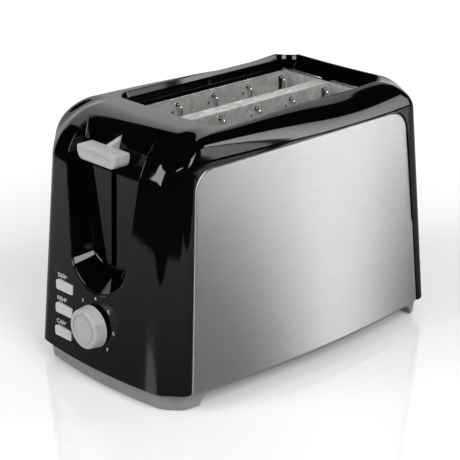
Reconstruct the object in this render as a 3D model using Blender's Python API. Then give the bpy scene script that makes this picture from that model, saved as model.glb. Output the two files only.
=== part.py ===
"""Pop-up toaster for two slices: a moulded black housing with two brushed steel side panels on a grey base.

The lever end faces -X, the long steel panels face -Y and +Y, and the object stands on z = 0. Every size is in
metres. The pieces are made in the body's own frame, whose centre lies midway along the housing, and hang from
an empty that puts the centre of the whole object's footprint, knob included, at the origin.
"""

import math

import bmesh
import bpy
from mathutils import Matrix, Vector

# Housing
BODY_LENGTH = 0.2520
BODY_CORNER_WIDTH = 0.137  # across the flat ends of the sides; the sides bow out further between them
BODY_HEIGHT = 0.1720
SIDE_BOW = 0.0095
END_BOW = 0.0044
CORNER_CUT_X = 0.0163
CORNER_CUT_Y = 0.0110
CORNER_ROUND = 0.0050
REAR_CORNER = 0.70  # how large the rear corners' cuts are beside the front ones
END_DRAFT = 0.073
SIDE_DRAFT = 0.035
HOUSING_FOOT = 0.0130  # height of the housing's lower edge
WALL = 0.0024
CORNER_EASE = 0.80  # how much further in the shoulders reach at the corners
FRONT_SHOULDER = 0.036
SIDE_SHOULDER = 0.020
REAR_SHOULDER = 0.026
HALF_LENGTH = BODY_LENGTH / 2
HALF_WIDTH = BODY_CORNER_WIDTH / 2

# Bread slots
SLOT_WIDTH = 0.0312
SLOT_BRIDGE = 0.0104
SLOT_FRONT = -HALF_LENGTH + 0.0691
SLOT_REAR = HALF_LENGTH - 0.0426
SLOT_INNER_Y = SLOT_BRIDGE / 2
SLOT_OUTER_Y = SLOT_INNER_Y + SLOT_WIDTH
SLOT_MIDDLE_Y = (SLOT_INNER_Y + SLOT_OUTER_Y) / 2
SHEET = 0.0006
COLLAR_DEPTH = 0.0230
PAN_DROP = 0.0002  # how far the pan lies below the deck

# Recess in the top, and the mouth in its floor
RIM_FRONT = -HALF_LENGTH + 0.0614
RIM_REAR = HALF_LENGTH - 0.0315
RIM_HALF_WIDTH = SLOT_OUTER_Y + 0.0110
RIM_ROUND = 0.012
RECESS_DEPTH = 0.0092
RECESS_STEP = 0.0022
RECESS_LEDGE = 0.45  # share of the recess's depth at which its wall steps in
DECK = 0.0018
DECK_TOP = BODY_HEIGHT - RECESS_DEPTH
DECK_LOW = DECK_TOP - DECK

# Lever channel and travel. Widths are half widths, at the channel's top and where its foot begins to curve.
CHANNEL_FLOOR_X = -HALF_LENGTH + 0.0200  # at the foot of its floor
CHANNEL_LEAN = 0.031
CHANNEL_BEND_Z = BODY_HEIGHT - 0.034  # above here the floor curves back towards the top
CHANNEL_BEND = 6.5
CHANNEL_FOOT = 0.064
CHANNEL_FLOOR_FOOT = 0.077
CHANNEL_CURVE_Z = 0.086  # where the flanks begin to curve in towards the foot
CHANNEL_OUTER = (0.0440, 0.0290)
CHANNEL_MOUTH = (0.0400, 0.0268)
CHANNEL_FLOOR = (0.0335, 0.0205)
CHANNEL_REACH = 0.012  # how far the channel's cutter stands out from the face
LEVER_SLOT = 0.0052
LEVER_Z = BODY_HEIGHT - 0.0186
LEVER_TRAVEL = LEVER_Z - CHANNEL_FLOOR_FOOT - 0.0104
LEVER_GAP_FOOT = 0.0008  # from the foot of the channel's floor to the slot in it
HANDLE_LENGTH = 0.037
HANDLE_DEPTH = 0.0121
HANDLE_HEIGHT = 0.0092
HANDLE_FRONT = -HALF_LENGTH + 0.0071
HANDLE_CHIN = (0.0030, 0.0045)  # the cut off the handle's lower corners, along and up
HANDLE_BROW = 0.0012
TONGUE_TOP = 0.0101
TONGUE_LOW = -0.0036
TONGUE_HALF = LEVER_SLOT / 2 - 0.0005
ARM_HALF = 0.0008
ARM_HIGH = 0.0023
ARM_GRIP = 0.0065  # how deep the arm reaches into the tongue
ARM_WIDTH = 0.0070

# Steel side panels
PANEL_FRONT = -HALF_LENGTH + 0.0205
PANEL_REAR = HALF_LENGTH - 0.0190
PANEL_TOP = BODY_HEIGHT - 0.0190
PANEL_ROUND = 0.014
PANEL_SHEET = 0.0008
PANEL_GAP = 0.0004
PANEL_SPAN = (0.050, 0.100)  # from inside a side wall to well outside it
WINDOW_LOW = 0.030
WINDOW_MARGIN = 0.012

# Dial and push buttons
DIAL_Z = 0.0424
KNOB_RADIUS = 0.0140
KNOB_HEIGHT = 0.0082
KNOB_TAPER = 0.0010
KNOB_SKIN = 0.003  # thickness of the knob's face over its shaft
KNOB_DISH = 0.0004
DISH_SHARE = 0.74
POINTER_ANGLE = 68.0
POINTER_HALF = 0.0018
SHAFT_RADIUS = 0.0030
SHAFT_GAP = 0.0004
BUTTON_NAMES = ("defrost", "reheat", "cancel")
BUTTON_WIDTH = 0.0170
BUTTON_HEIGHT = 0.0068
BUTTON_ROUND = 0.0015
BUTTON_Y = 0.0322
BUTTON_PITCH = 0.0158
BUTTON_TRAVEL = 0.0015
BUTTON_PROUD = 0.0013
BUTTON_DEPTH = 0.0030
BUTTON_HEIGHTS = [DIAL_Z + BUTTON_PITCH * row for row in (1, 0, -1)]
FLANGE_X = 0.0049  # from the face back to a button's flange
FLANGE = 0.0012
FLANGE_LIP = 0.0015
BOARD_X = -HALF_LENGTH + 0.0174  # front face of the control board
BOARD_THICK = 0.0016
BOARD_Y = (-0.024, 0.043)
BOARD_Z = (0.0165, 0.0625)
POT_RADIUS = 0.0080
POT_DEPTH = 0.0070
SWITCH_DEPTH = 0.0040
SWITCH_HALF = 0.003
CAPACITOR_PLACE = (0.030, 0.046)
CAPACITOR_RADIUS = 0.0050
CAPACITOR_LENGTH = 0.0120

# Screws, their bosses and posts
SCREW_RADIUS = 0.0013
SCREW_HEAD = 0.0026
BOSS_RADIUS = 0.0042
BOSS_HEIGHT = 0.0110
BOSS_SEAT = 0.0050
BOSS_PLACES = [(x, y) for x in (-HALF_LENGTH + 0.044, HALF_LENGTH - 0.032) for y in (-0.056, 0.056)]
POST_RADIUS = 0.003
POST_PLACES = ((-0.017, 0.030), (0.017, 0.054))
CORNER_WORDS = ("front_right", "front_left", "rear_right", "rear_left")

# Base and its pads
BASE_INSET = 0.0040
BASE_TAPER = 0.0010
PAD_STAND = 0.0008  # the pads hold the base this far off the table
PAD_RADIUS = 0.0045
PAD_HEIGHT = 0.0022
PAD_PLACES = [(x, y) for x in (-HALF_LENGTH + 0.018, HALF_LENGTH - 0.0135) for y in (-0.0535, 0.0535)]
BASE_FLOOR_LOW = 0.0090
BASE_FLOOR_TOP = 0.0115
FOOT_LENGTH_FRONT = 0.0270
FOOT_LENGTH_REAR = 0.0150
FOOT_CURVE = 0.0080
FRONT_POCKET_X = (-HALF_LENGTH + 0.009, -HALF_LENGTH + 0.025)
FRONT_POCKET_HALF = 0.030
FRONT_POCKET_LOW = 0.0030
REAR_GAP_X = HALF_LENGTH - 0.041
REAR_GAP_HALF = 0.046

# Toasting chamber
CHASSIS_FRONT = SLOT_FRONT - 0.0041
CHASSIS_REAR = SLOT_REAR + 0.0046
CHASSIS_HALF_WIDTH = SLOT_OUTER_Y + 0.0076
COVER_HALF_WIDTH = SLOT_OUTER_Y + 0.0066
COVER_OVERHANG = 0.003
REFLECTOR_Y = SLOT_OUTER_Y + 0.0056
BOARD_OUTER_Y = SLOT_OUTER_Y + 0.0010
MICA = 0.0008
MICA_LOW = 0.0360
MICA_HIGH = BODY_HEIGHT - 0.0375
RIBBON = 0.0004
RIBBON_WIDTH = 0.0018
RIBBON_ROWS = 10
RIBBON_MARGIN = 0.006
WIRE_RADIUS = 0.0008
PIVOT_RADIUS = 0.0010
RAIL_RADIUS = 0.0007
RAIL_OFFSET = 0.0009
RAIL_HEIGHTS = (0.036, 0.104)
RAIL_OVERHANG = 0.003
GUARD_PIVOT_Z = 0.0300
GUARD_OFFSET = 0.0040  # from the slot's wall to the guard
GUARD_YS = (SLOT_INNER_Y + GUARD_OFFSET, SLOT_OUTER_Y - GUARD_OFFSET)
GUARD_WIRES = 5
GUARD_FIRST_X = SLOT_FRONT + 0.0051
GUARD_PITCH = (SLOT_REAR - 0.0060 - GUARD_FIRST_X) / (GUARD_WIRES - 1)
GUARD_WIRES_X = [GUARD_FIRST_X + GUARD_PITCH * wire for wire in range(GUARD_WIRES)]
GUARD_BEND_Z = BODY_HEIGHT - 0.0134
GUARD_BEND = 0.0025
HOOK_REACH = 0.0032
WINDOW_HALF = (0.0013, 0.0020)  # the wires' windows in the collars, and the wider one of the last wire
WINDOW_DROP = 0.0016
WINDOW_RISE = 0.0013
PIVOT_NUDGE = (0.00007, -0.00013)  # keeps a wire's end off the pivot wire's own edges
PIVOT_OVERHANG = 0.0015

# Carriage
RACK_TOP = BODY_HEIGHT - 0.0620
RACK_HEIGHT = 0.0060
RACK_THICK = 0.0024
RACK_REACH = 0.0070
RACK_OVERHANG = 0.0020
RACK_GAP = 0.0004
FINGERS = 7
FINGER_HALF = 0.0012
FINGER_MARGIN = 0.010
FINGER_RISE = 0.0004
FINGER_DEPTH = 0.0016
ROD_X = -HALF_LENGTH + 0.0500
ROD_RADIUS = 0.0026
ROD_TOP = BODY_HEIGHT - 0.0135
ROD_SEAT = 0.0010  # how deep the guide rod stands in the base
BRACKET_X = CHASSIS_FRONT - 0.0055
BRACKET_LOW = BODY_HEIGHT - 0.0760
BRACKET_HIGH = BODY_HEIGHT - 0.0460
BRACKET_HALF_WIDTH = SLOT_MIDDLE_Y + 0.0062
EAR_REACH = 0.0070
EAR_HALF = 0.009
SPRING_Y = 0.0160
SPRING_RADIUS = 0.0034
SPRING_WIRE = 0.0005
SPRING_TURNS = 10
TAB_DROP = 0.0015  # from the rod's top to the tab that steadies it
TAB_REACH = 0.0050
TAB_Y = (-0.010, 0.022)
MAGNET_Y = -0.0170
MAGNET_HALF_X = 0.0055
MAGNET_HALF_Y = 0.009
MAGNET_YOKE = 0.005
MAGNET_LEG = 0.0035
ARMATURE_X = -HALF_LENGTH + 0.0350
ARMATURE_Z = BODY_HEIGHT - 0.0663
ARMATURE_THICK = 0.0020
ARMATURE_HALF = 0.006
RIVET_RADIUS = 0.0015
RIVET_HEAD = 0.0010
CONTACT_X = (-HALF_LENGTH + 0.0280, -HALF_LENGTH + 0.0405)
CONTACT_Y = (0.0085, 0.0245)
CONTACT_TOP = 0.0240
CONTACT_GAPS = (0.0115, 0.0185)
CONTACT_GAP = 0.0030
CONTACT_GAP_LOW = 0.0160
CONTACT_GAP_X = 0.0035  # from the block's front to its gaps

# Crumb tray
TRAY_FRONT = CHASSIS_FRONT + 0.0030
TRAY_REAR = HALF_LENGTH - 0.0110
TRAY_HALF_WIDTH = REFLECTOR_Y - 0.0020
TRAY_LIP = 0.0050
TRAY_DOOR = (0.001, 0.0015)  # room beside and over the tray in the rear wall
PULL_HALF_WIDTH = TRAY_HALF_WIDTH + 0.0040
PULL_TOP = 0.0240
NOTCH_X = HALF_LENGTH - 0.021

# Cord gland
GLAND_Y = 0.042
GLAND_Z = 0.034
GLAND_RADIUS = 0.0055
GLAND_BORE = 0.0033
GLAND_FLANGE = 0.0020
GLAND_LENGTH = 0.0100
GLAND_INSIDE = 0.0080  # how far the gland reaches in from the wall's face

CLEAR = 0.0003  # gap between pieces that touch or seat on each other
PAST = 0.004  # how far a cutter runs past what it cuts
OUTSIDE = 0.014  # from the housing's end to well past it

TRAY_LOW = BASE_FLOOR_TOP + CLEAR
TRAY_TOP = TRAY_LOW + TRAY_LIP
COVER_HIGH = DECK_LOW - CLEAR
WALLS_TOP = COVER_HIGH - SHEET - CLEAR  # top of what stands under the cover
KNOB_BACK = -(HALF_LENGTH - END_DRAFT * (DIAL_Z - KNOB_RADIUS - HOUSING_FOOT)) - 0.0004
KNOB_FRONT = KNOB_BACK - KNOB_HEIGHT
BODY_X = (-KNOB_FRONT - HALF_LENGTH) / 2  # centres the footprint, knob included, on the origin

COLOURS = {
    "black_gloss": ((0.008, 0.008, 0.009), 0.12, 0.0),
    "grey_plastic": ((0.42, 0.42, 0.42), 0.40, 0.0),
    "light_grey_plastic": ((0.62, 0.62, 0.62), 0.35, 0.0),
    "brushed_steel": ((0.62, 0.62, 0.61), 0.30, 1.0),
    "galvanised": ((0.50, 0.50, 0.48), 0.45, 1.0),
    "bright_steel": ((0.72, 0.72, 0.71), 0.25, 1.0),
    "mica": ((0.55, 0.47, 0.36), 0.60, 0.0),
    "nichrome": ((0.35, 0.33, 0.31), 0.45, 1.0),
    "rubber": ((0.03, 0.03, 0.03), 0.80, 0.0),
    "laminate": ((0.05, 0.20, 0.09), 0.50, 0.0),
    "dark_plastic": ((0.02, 0.02, 0.02), 0.50, 0.0),
    "copper_winding": ((0.60, 0.25, 0.09), 0.40, 1.0),
}


# ---------------------------------------------------------------- scene and materials


def clear_scene():
    for old in list(bpy.data.objects):
        bpy.data.objects.remove(old)


def new_collection(name, shown):
    made = bpy.data.collections.new(name)
    bpy.context.scene.collection.children.link(made)
    made.hide_render = not shown
    return made


def material(slot):
    """The named Principled material, made the first time it is asked for."""
    if slot in bpy.data.materials:
        return bpy.data.materials[slot]
    colour, roughness, metallic = COLOURS[slot]
    made = bpy.data.materials.new(slot)
    made.use_nodes = True
    shader = made.node_tree.nodes["Principled BSDF"]
    shader.inputs["Base Color"].default_value = (*colour, 1.0)
    shader.inputs["Roughness"].default_value = roughness
    shader.inputs["Metallic"].default_value = metallic
    made.diffuse_color = (*colour, 1.0)
    return made


def add_object(name, mesh, place=(0, 0, 0)):
    made = bpy.data.objects.new(name, mesh)
    made.location = place
    return made


def part(obj, slot, parent=None):
    """Makes an object one of the toaster's pieces."""
    pieces.objects.link(obj)
    obj.data.materials.append(material(slot))
    obj.data.shade_smooth()
    obj.data.set_sharp_from_angle(angle=math.radians(30))
    obj.parent = parent or body
    return obj


def helper(obj):
    """Makes an object a cutter or a block that other pieces are cut with."""
    cutters.objects.link(obj)
    obj.parent = body
    obj.hide_render = True
    obj.display_type = "WIRE"
    return obj


def combine(obj, other, operation):
    modifier = obj.modifiers.new(other.name, "BOOLEAN")
    modifier.operation = operation
    modifier.solver = "EXACT"
    modifier.object = other
    return obj


def cut(obj, *others):
    for other in others:
        combine(obj, other, "DIFFERENCE")
    return obj


def join(obj, *others):
    for other in others:
        combine(obj, other, "UNION")
    return obj


# ---------------------------------------------------------------- shapes


def mesh_from(name, build):
    """A mesh made by one bmesh function, with its faces pointing out."""
    work = bmesh.new()
    build(work)
    bmesh.ops.recalc_face_normals(work, faces=work.faces)
    mesh = bpy.data.meshes.new(name)
    work.to_mesh(mesh)
    work.free()
    return mesh


def box(name, x, y, z):
    """A box between two values on each axis."""
    spans = (x, y, z)
    size = Vector([high - low for low, high in spans])
    middle = Vector([(low + high) / 2 for low, high in spans])

    def build(work):
        bmesh.ops.create_cube(work, size=1.0)
        bmesh.ops.scale(work, vec=size, verts=work.verts)
        bmesh.ops.translate(work, vec=middle, verts=work.verts)

    return add_object(name, mesh_from(name, build))


def cylinder(name, centre, radius, length, axis="Z", sides=24, top_radius=None):
    """A cylinder, or a cone, from centre along +axis."""
    turns = {
        "X": Matrix.Rotation(math.pi / 2, 4, "Y"),
        "Y": Matrix.Rotation(-math.pi / 2, 4, "X"),
        "Z": Matrix(),
    }
    turn = turns[axis]
    lift = Matrix.Translation((0, 0, length / 2))

    def build(work):
        bmesh.ops.create_cone(
            work,
            cap_ends=True,
            segments=sides,
            radius1=radius,
            radius2=radius if top_radius is None else top_radius,
            depth=length,
        )
        bmesh.ops.transform(work, matrix=Matrix.Translation(centre) @ turn @ lift, verts=work.verts)

    return add_object(name, mesh_from(name, build))


def loft(name, rings, banded=False):
    """A closed solid through rings of equally many points, with caps on the first and last.

    A banded cap, for ends that curve, is made of bands between each point and its mirror image in the ring.
    """

    def build(work):
        rows = [[work.verts.new(point) for point in ring] for ring in rings]
        count = len(rows[0])
        for row in (rows[0], rows[-1]):
            if not banded:
                work.faces.new(row)
                continue
            work.faces.new((row[0], row[1], row[-1]))
            for i in range(1, (count - 1) // 2):
                work.faces.new((row[i], row[i + 1], row[count - i - 1], row[count - i]))
        for low, high in zip(rows, rows[1:]):
            for i in range(count):
                j = (i + 1) % count
                # Mirrored diagonals, so that a skewed wall is the same on both sides of the ring.
                if i < count / 2:
                    work.faces.new((low[i], low[j], high[i]))
                    work.faces.new((low[j], high[j], high[i]))
                else:
                    work.faces.new((low[i], low[j], high[j]))
                    work.faces.new((low[i], high[j], high[i]))

    return add_object(name, mesh_from(name, build))


def mesh_of_curve(name, curve, within=0.00001):
    """A curve object's shape as a mesh object, with its caps welded on."""
    drawn = bpy.data.objects.new(name + "_curve", curve)
    bpy.context.scene.collection.objects.link(drawn)
    mesh = bpy.data.meshes.new_from_object(drawn.evaluated_get(bpy.context.evaluated_depsgraph_get()))
    bpy.data.objects.remove(drawn)
    work = bmesh.new()
    work.from_mesh(mesh)
    bmesh.ops.remove_doubles(work, verts=work.verts, dist=within)
    bmesh.ops.recalc_face_normals(work, faces=work.faces)
    work.to_mesh(mesh)
    work.free()
    mesh.name = name
    return add_object(name, mesh)


def plate(name, outline, low, high, axis):
    """A flat outline, given in the two other axes in order, made as thick as from low to high along axis."""
    curve = bpy.data.curves.new(name, "CURVE")
    curve.dimensions = "2D"
    curve.fill_mode = "BOTH"
    curve.extrude = (high - low) / 2
    spline = curve.splines.new("POLY")
    spline.points.add(len(outline) - 1)
    for point, (u, v) in zip(spline.points, outline):
        point.co = (u, v, 0, 1)
    spline.use_cyclic_u = True
    made = mesh_of_curve(name, curve)
    middle = (low + high) / 2
    frames = {
        "X": Matrix(((0, 0, 1, middle), (1, 0, 0, 0), (0, 1, 0, 0), (0, 0, 0, 1))),
        "Y": Matrix(((1, 0, 0, 0), (0, 0, -1, middle), (0, 1, 0, 0), (0, 0, 0, 1))),
        "Z": Matrix.Translation((0, 0, middle)),
    }
    made.data.transform(frames[axis])
    return made


def wire(name, points, radius, sides=1):
    """A round wire through points, as a mesh object. sides is the curve's bevel resolution."""
    curve = bpy.data.curves.new(name, "CURVE")
    curve.dimensions = "3D"
    curve.bevel_depth = radius
    curve.bevel_resolution = sides
    curve.use_fill_caps = True
    spline = curve.splines.new("POLY")
    spline.points.add(len(points) - 1)
    for point, place in zip(spline.points, points):
        point.co = (*place, 1)
    return mesh_of_curve(name, curve)


def arc(centre, radius, start, end, steps):
    """Points along a circular arc in a plane, angles in degrees."""
    angles = [math.radians(start + (end - start) * i / steps) for i in range(steps + 1)]
    return [(centre[0] + radius * math.cos(a), centre[1] + radius * math.sin(a)) for a in angles]


def rounded_rectangle(low, high, radius, steps=3):
    (u0, v0), (u1, v1) = low, high
    corners = (
        (u1 - radius, v0 + radius, -90),
        (u1 - radius, v1 - radius, 0),
        (u0 + radius, v1 - radius, 90),
        (u0 + radius, v0 + radius, 180),
    )
    return [p for u, v, start in corners for p in arc((u, v), radius, start, start + 90, steps)]


# ---------------------------------------------------------------- the body's outer form


def eased(share):
    """0 to 1 with level ends."""
    return share * share * (3 - 2 * share)


def rounded_corner(before, corner, after, radius, steps=3):
    """Points that round a corner off, from radius before it to radius past it."""
    start = corner + (before - corner).normalized() * radius
    end = corner + (after - corner).normalized() * radius
    shares = [i / steps for i in range(steps + 1)]
    return [start * (1 - t) ** 2 + corner * (2 * t * (1 - t)) + end * t**2 for t in shares]


END_STEPS, SIDE_STEPS = 3, 4


def quarter_outline(z, inset, end):
    """Half an end and half a side of the plan outline at height z, as (x, y, share) with y negative.

    end is -1 for the lever end and 1 for the rear. share is 0 along the end, 1 along the side.
    """
    rise = z - HOUSING_FOOT
    fade = max(0.0, 1 - rise / (PANEL_TOP - HOUSING_FOOT))
    half_length = HALF_LENGTH - END_DRAFT * rise - inset
    half_width = HALF_WIDTH - SIDE_DRAFT * rise - inset
    share = REAR_CORNER if end > 0 else 1.0
    end_half = half_width - CORNER_CUT_Y * share + inset * 0.4
    side_half = half_length - CORNER_CUT_X * share + inset * 0.4

    def end_point(y):
        return Vector((half_length - END_BOW * (y / end_half) ** 2, -y))

    def side_point(x):
        return Vector((x, -half_width - SIDE_BOW * fade * (1 - (x / half_length) ** 2)))

    first, second = end_point(end_half), side_point(side_half)
    radius = min(CORNER_ROUND, 0.42 * (second - first).length)
    across = [end_point((end_half - radius) * i / END_STEPS) for i in range(END_STEPS)]
    along = [side_point((side_half - radius) * (1 - i / SIDE_STEPS)) for i in range(1, SIDE_STEPS + 1)]
    bends = rounded_corner(end_point(end_half - radius), first, second, radius)
    bends += rounded_corner(first, second, side_point(side_half - radius), radius)
    middle = [i / (len(bends) - 1) for i in range(len(bends))]
    points = [(p, 0.0) for p in across] + list(zip(bends, middle)) + [(p, 1.0) for p in along]
    return [(end * p.x, p.y, share) for p, share in points]


def rim_quarter(end, inset):
    """The rim point that each point of quarter_outline climbs to."""
    edge = (RIM_REAR if end > 0 else -RIM_FRONT) - inset
    half = RIM_HALF_WIDTH - inset
    middle = end * (RIM_FRONT + RIM_REAR) / 2
    reach = half - RIM_ROUND
    across = [(edge, -reach * i / END_STEPS) for i in range(END_STEPS)]
    bend = arc((edge - RIM_ROUND, -reach), RIM_ROUND, 0, -90, 7)
    start = edge - RIM_ROUND
    along = [(start + (middle - start) * i / SIDE_STEPS, -half) for i in range(1, SIDE_STEPS + 1)]
    return [(end * x, y) for x, y in across + bend + along]


def around(quarter_of):
    """A whole outline from its four quarters, counter-clockwise from the front's middle."""
    near_front, near_rear = quarter_of(-1), quarter_of(1)
    near = near_front + near_rear[::-1][1:]
    far = [(x, -y, *rest) for x, y, *rest in near[1:-1]]
    return near + far[::-1]


def body_rings(inset, low, rise_steps=2, shoulder_steps=5):
    """Rings from the lower edge up the drafted walls and over the shoulders to the rim of the recess."""
    top = BODY_HEIGHT - inset
    foot = around(lambda end: [(*p, end) for p in quarter_outline(HOUSING_FOOT, inset, end)])
    rim = around(lambda end: rim_quarter(end, inset * 0.5))
    shoulders = []
    for _x, _y, share, end in foot:
        across = FRONT_SHOULDER if end < 0 else REAR_SHOULDER
        shoulders.append(across + (SIDE_SHOULDER - across) * eased(share))

    def wall_ring(level):
        """level 0 is the lower edge, 1 the foot of the shoulder; the heights differ from point to point."""
        ring = []
        for i, drop in enumerate(shoulders):
            z = low + (top - drop - low) * level
            at = around(lambda end, z=z: quarter_outline(z, inset, end))[i]
            ring.append((at[0], at[1], z))
        return ring

    rings = [wall_ring(i / rise_steps) for i in range(rise_steps + 1)]
    eave = rings[-1]
    for k in range(1, shoulder_steps + 1):
        angle = math.pi / 2 * k / shoulder_steps
        ring = []
        for (x, y, z), (rim_x, rim_y), drop, (_x, _y, share, _end) in zip(eave, rim, shoulders, foot):
            way = Vector((rim_x - x, rim_y - y))
            most = min(drop * (1 + CORNER_EASE * 4 * share * (1 - share)), way.length - 0.0005)
            reach = most * (1 - math.cos(angle))
            step = way.normalized() * reach
            ring.append((x + step.x, y + step.y, z + drop * math.sin(angle)))
        rings.append(ring)
    rings.append([(x, y, top) for x, y in rim])
    return rings


def body_solid(name, inset):
    """The body's form, shrunk by inset and run on below its lower edge."""
    return loft(name, body_rings(inset, HOUSING_FOOT - PAST))


def front_x(y, z):
    """Where the lever end's face stands, below its shoulder."""
    half = HALF_WIDTH - SIDE_DRAFT * (z - HOUSING_FOOT) - CORNER_CUT_Y
    return -(HALF_LENGTH - END_DRAFT * (z - HOUSING_FOOT) - END_BOW * (y / half) ** 2)


# ---------------------------------------------------------------- housing


def channel_ring(x_of, spread, foot):
    """The lever channel's outline at one depth: straight drafted flanks down to a rounded foot.

    x_of gives the depth at a height. spread is the half width at the top and where the foot's curve begins.
    """
    high = BODY_HEIGHT + PAST
    wide, narrow = spread
    steps = 6
    left = []
    for i in range(steps + 1):
        angle = math.pi / 2 * i / steps
        left.append((narrow * math.sin(angle), CHANNEL_CURVE_Z - (CHANNEL_CURVE_Z - foot) * math.cos(angle)))
    for share in (0.55, 0.75, 0.88, 1.0):
        left.append((narrow + (wide - narrow) * share, CHANNEL_CURVE_Z + (high - CHANNEL_CURVE_Z) * share))
    outline = left + [(-y, z) for y, z in left[:0:-1]]
    return [(x_of(z), y, z) for y, z in outline]


def channel_floor_x(z):
    bend = CHANNEL_BEND * max(0.0, z - CHANNEL_BEND_Z) ** 2
    return CHANNEL_FLOOR_X + CHANNEL_LEAN * (z - CHANNEL_FLOOR_FOOT) + bend


def channel_block(name, grow):
    """The space of the lever channel, or that space grown by a wall."""

    def ring(x_of, spread, foot):
        return channel_ring(x_of, [half + grow for half in spread], foot - grow)

    outer = ring(lambda z: front_x(0, z) - CHANNEL_REACH, CHANNEL_OUTER, CHANNEL_FOOT - 0.006)
    mouth = ring(lambda z: front_x(0, z) - 0.0002, CHANNEL_MOUTH, CHANNEL_FOOT)
    floor = ring(lambda z: channel_floor_x(z) + grow, CHANNEL_FLOOR, CHANNEL_FLOOR_FOOT)
    return loft(name, [outer, mouth, floor], banded=True)


def panel_outline(grow):
    """A side panel seen from the side: drafted ends and rounded upper corners, as (x, z)."""
    low = HOUSING_FOOT - 0.0002
    top = PANEL_TOP + grow
    radius = PANEL_ROUND + grow

    def end_x(x, z, way):
        return x + way * grow - way * END_DRAFT * (z - HOUSING_FOOT)

    rear = arc((end_x(PANEL_REAR, top, 1) - radius, top - radius), radius, 4, 90, 5)
    front = arc((end_x(PANEL_FRONT, top, -1) + radius, top - radius), radius, 90, 176, 5)
    foot_low = low - grow
    return [(end_x(PANEL_FRONT, low, -1), foot_low), (end_x(PANEL_REAR, low, 1), foot_low)] + rear + front


def window_outline():
    """The opening in the housing behind a side panel, as (x, z)."""
    front, rear = PANEL_FRONT + WINDOW_MARGIN, PANEL_REAR - WINDOW_MARGIN
    top = PANEL_TOP - WINDOW_MARGIN
    upper = [(rear - WINDOW_MARGIN, top), (front + WINDOW_MARGIN, top)]
    return [(front, WINDOW_LOW), (rear, WINDOW_LOW)] + upper


def side_span(side, near, far):
    return (near, far) if side > 0 else (-far, -near)


def recess_block(name, grow):
    """The space of the recess in the top, with the step half way down its wall."""
    half, front, rear = RIM_HALF_WIDTH + grow, RIM_FRONT - grow, RIM_REAR + grow
    floor = DECK_TOP - (DECK if grow else 0)
    ledge = BODY_HEIGHT - RECESS_DEPTH * RECESS_LEDGE - grow
    top = BODY_HEIGHT + PAST

    def ring(z, shrink):
        radius = RIM_ROUND + grow - shrink / 2
        low, high = (front + shrink, -half + shrink), (rear - shrink, half - shrink)
        return [(x, y, z) for x, y in rounded_rectangle(low, high, radius, 5)]

    rings = [ring(floor, RECESS_STEP), ring(ledge, RECESS_STEP), ring(ledge + 0.0002, 0.0004), ring(top, 0.0)]
    return loft(name, rings)


def boss_block(name, x, y):
    """A screw boss with the rib that ties it to the side wall."""
    boss = cylinder(name, (x, y, HOUSING_FOOT), BOSS_RADIUS, BOSS_HEIGHT, sides=16)
    reach = side_span(1 if y > 0 else -1, abs(y), 0.080)
    rib_z = (HOUSING_FOOT, HOUSING_FOOT + BOSS_HEIGHT - SHEET)
    return join(boss, helper(box(name + "_rib", (x - 0.001, x + 0.001), reach, rib_z)))


def make_housing():
    housing = body_solid("housing", 0.0)
    cut(housing, housing_cavity())
    cut(housing, helper(recess_block("recess", 0.0)), helper(channel_block("channel", 0.0)))
    cut_mouth_and_lever_gap(housing)
    for side, word in ((-1, "right"), (1, "left")):
        pocket = helper(plate(f"pocket_{word}", panel_outline(PANEL_GAP), *side_span(side, *PANEL_SPAN), "Y"))
        cut(pocket, helper(body_solid(f"pocket_floor_{word}", PANEL_SHEET + CLEAR)))
        window_y = side_span(side, PANEL_SPAN[0] + 0.002, PANEL_SPAN[1])
        cut(housing, pocket, helper(plate(f"window_{word}", window_outline(), *window_y, "Y")))
    cut_control_holes(housing)
    cut_rear_holes(housing)
    for corner, (x, y) in enumerate(BOSS_PLACES):
        pilot_top = HOUSING_FOOT + BOSS_HEIGHT - 0.0015
        cut(housing, helper(cylinder(f"boss_pilot_{corner}", (x, y, 0.0), SCREW_RADIUS + CLEAR, pilot_top)))
    for post, (y, z) in enumerate(POST_PLACES):
        place = (BOARD_X - 0.008, y, z)
        cut(housing, helper(cylinder(f"post_pilot_{post}", place, SCREW_RADIUS + CLEAR, 0.012, "X", 12)))
    below_x = (-BODY_LENGTH, BODY_LENGTH)
    below_z = (HOUSING_FOOT - 2 * PAST, HOUSING_FOOT)
    cut(housing, helper(box("below", below_x, (-BODY_CORNER_WIDTH, BODY_CORNER_WIDTH), below_z)))
    return part(housing, "black_gloss")


def housing_cavity():
    """The housing's inside: the body's form less the recess's and channel's walls, the bosses and posts."""
    cavity = helper(body_solid("cavity", WALL))
    cut(cavity, helper(recess_block("recess_wall", WALL)), helper(channel_block("channel_wall", WALL)))
    for corner, (x, y) in enumerate(BOSS_PLACES):
        cut(cavity, helper(boss_block(f"boss_{corner}", x, y)))
    reach = BOARD_X - CLEAR + HALF_LENGTH
    for post, (y, z) in enumerate(POST_PLACES):
        cut(cavity, helper(cylinder(f"post_{post}", (-HALF_LENGTH, y, z), POST_RADIUS, reach, "X", 12)))
    return cavity


def cut_mouth_and_lever_gap(housing):
    mouth_y = SLOT_OUTER_Y + SHEET + CLEAR
    mouth_x = (SLOT_FRONT - SHEET - CLEAR, SLOT_REAR + SHEET + CLEAR)
    cut(housing, helper(box("mouth", mouth_x, (-mouth_y, mouth_y), (DECK_LOW - PAST, BODY_HEIGHT))))
    low = CHANNEL_FLOOR_FOOT + LEVER_GAP_FOOT
    high = LEVER_Z + TONGUE_TOP + 0.001
    gap_x = (channel_floor_x(low) - PAST, channel_floor_x(high) + WALL + PAST)
    cut(housing, helper(box("lever_gap", gap_x, (-LEVER_SLOT / 2, LEVER_SLOT / 2), (low, high))))


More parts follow.
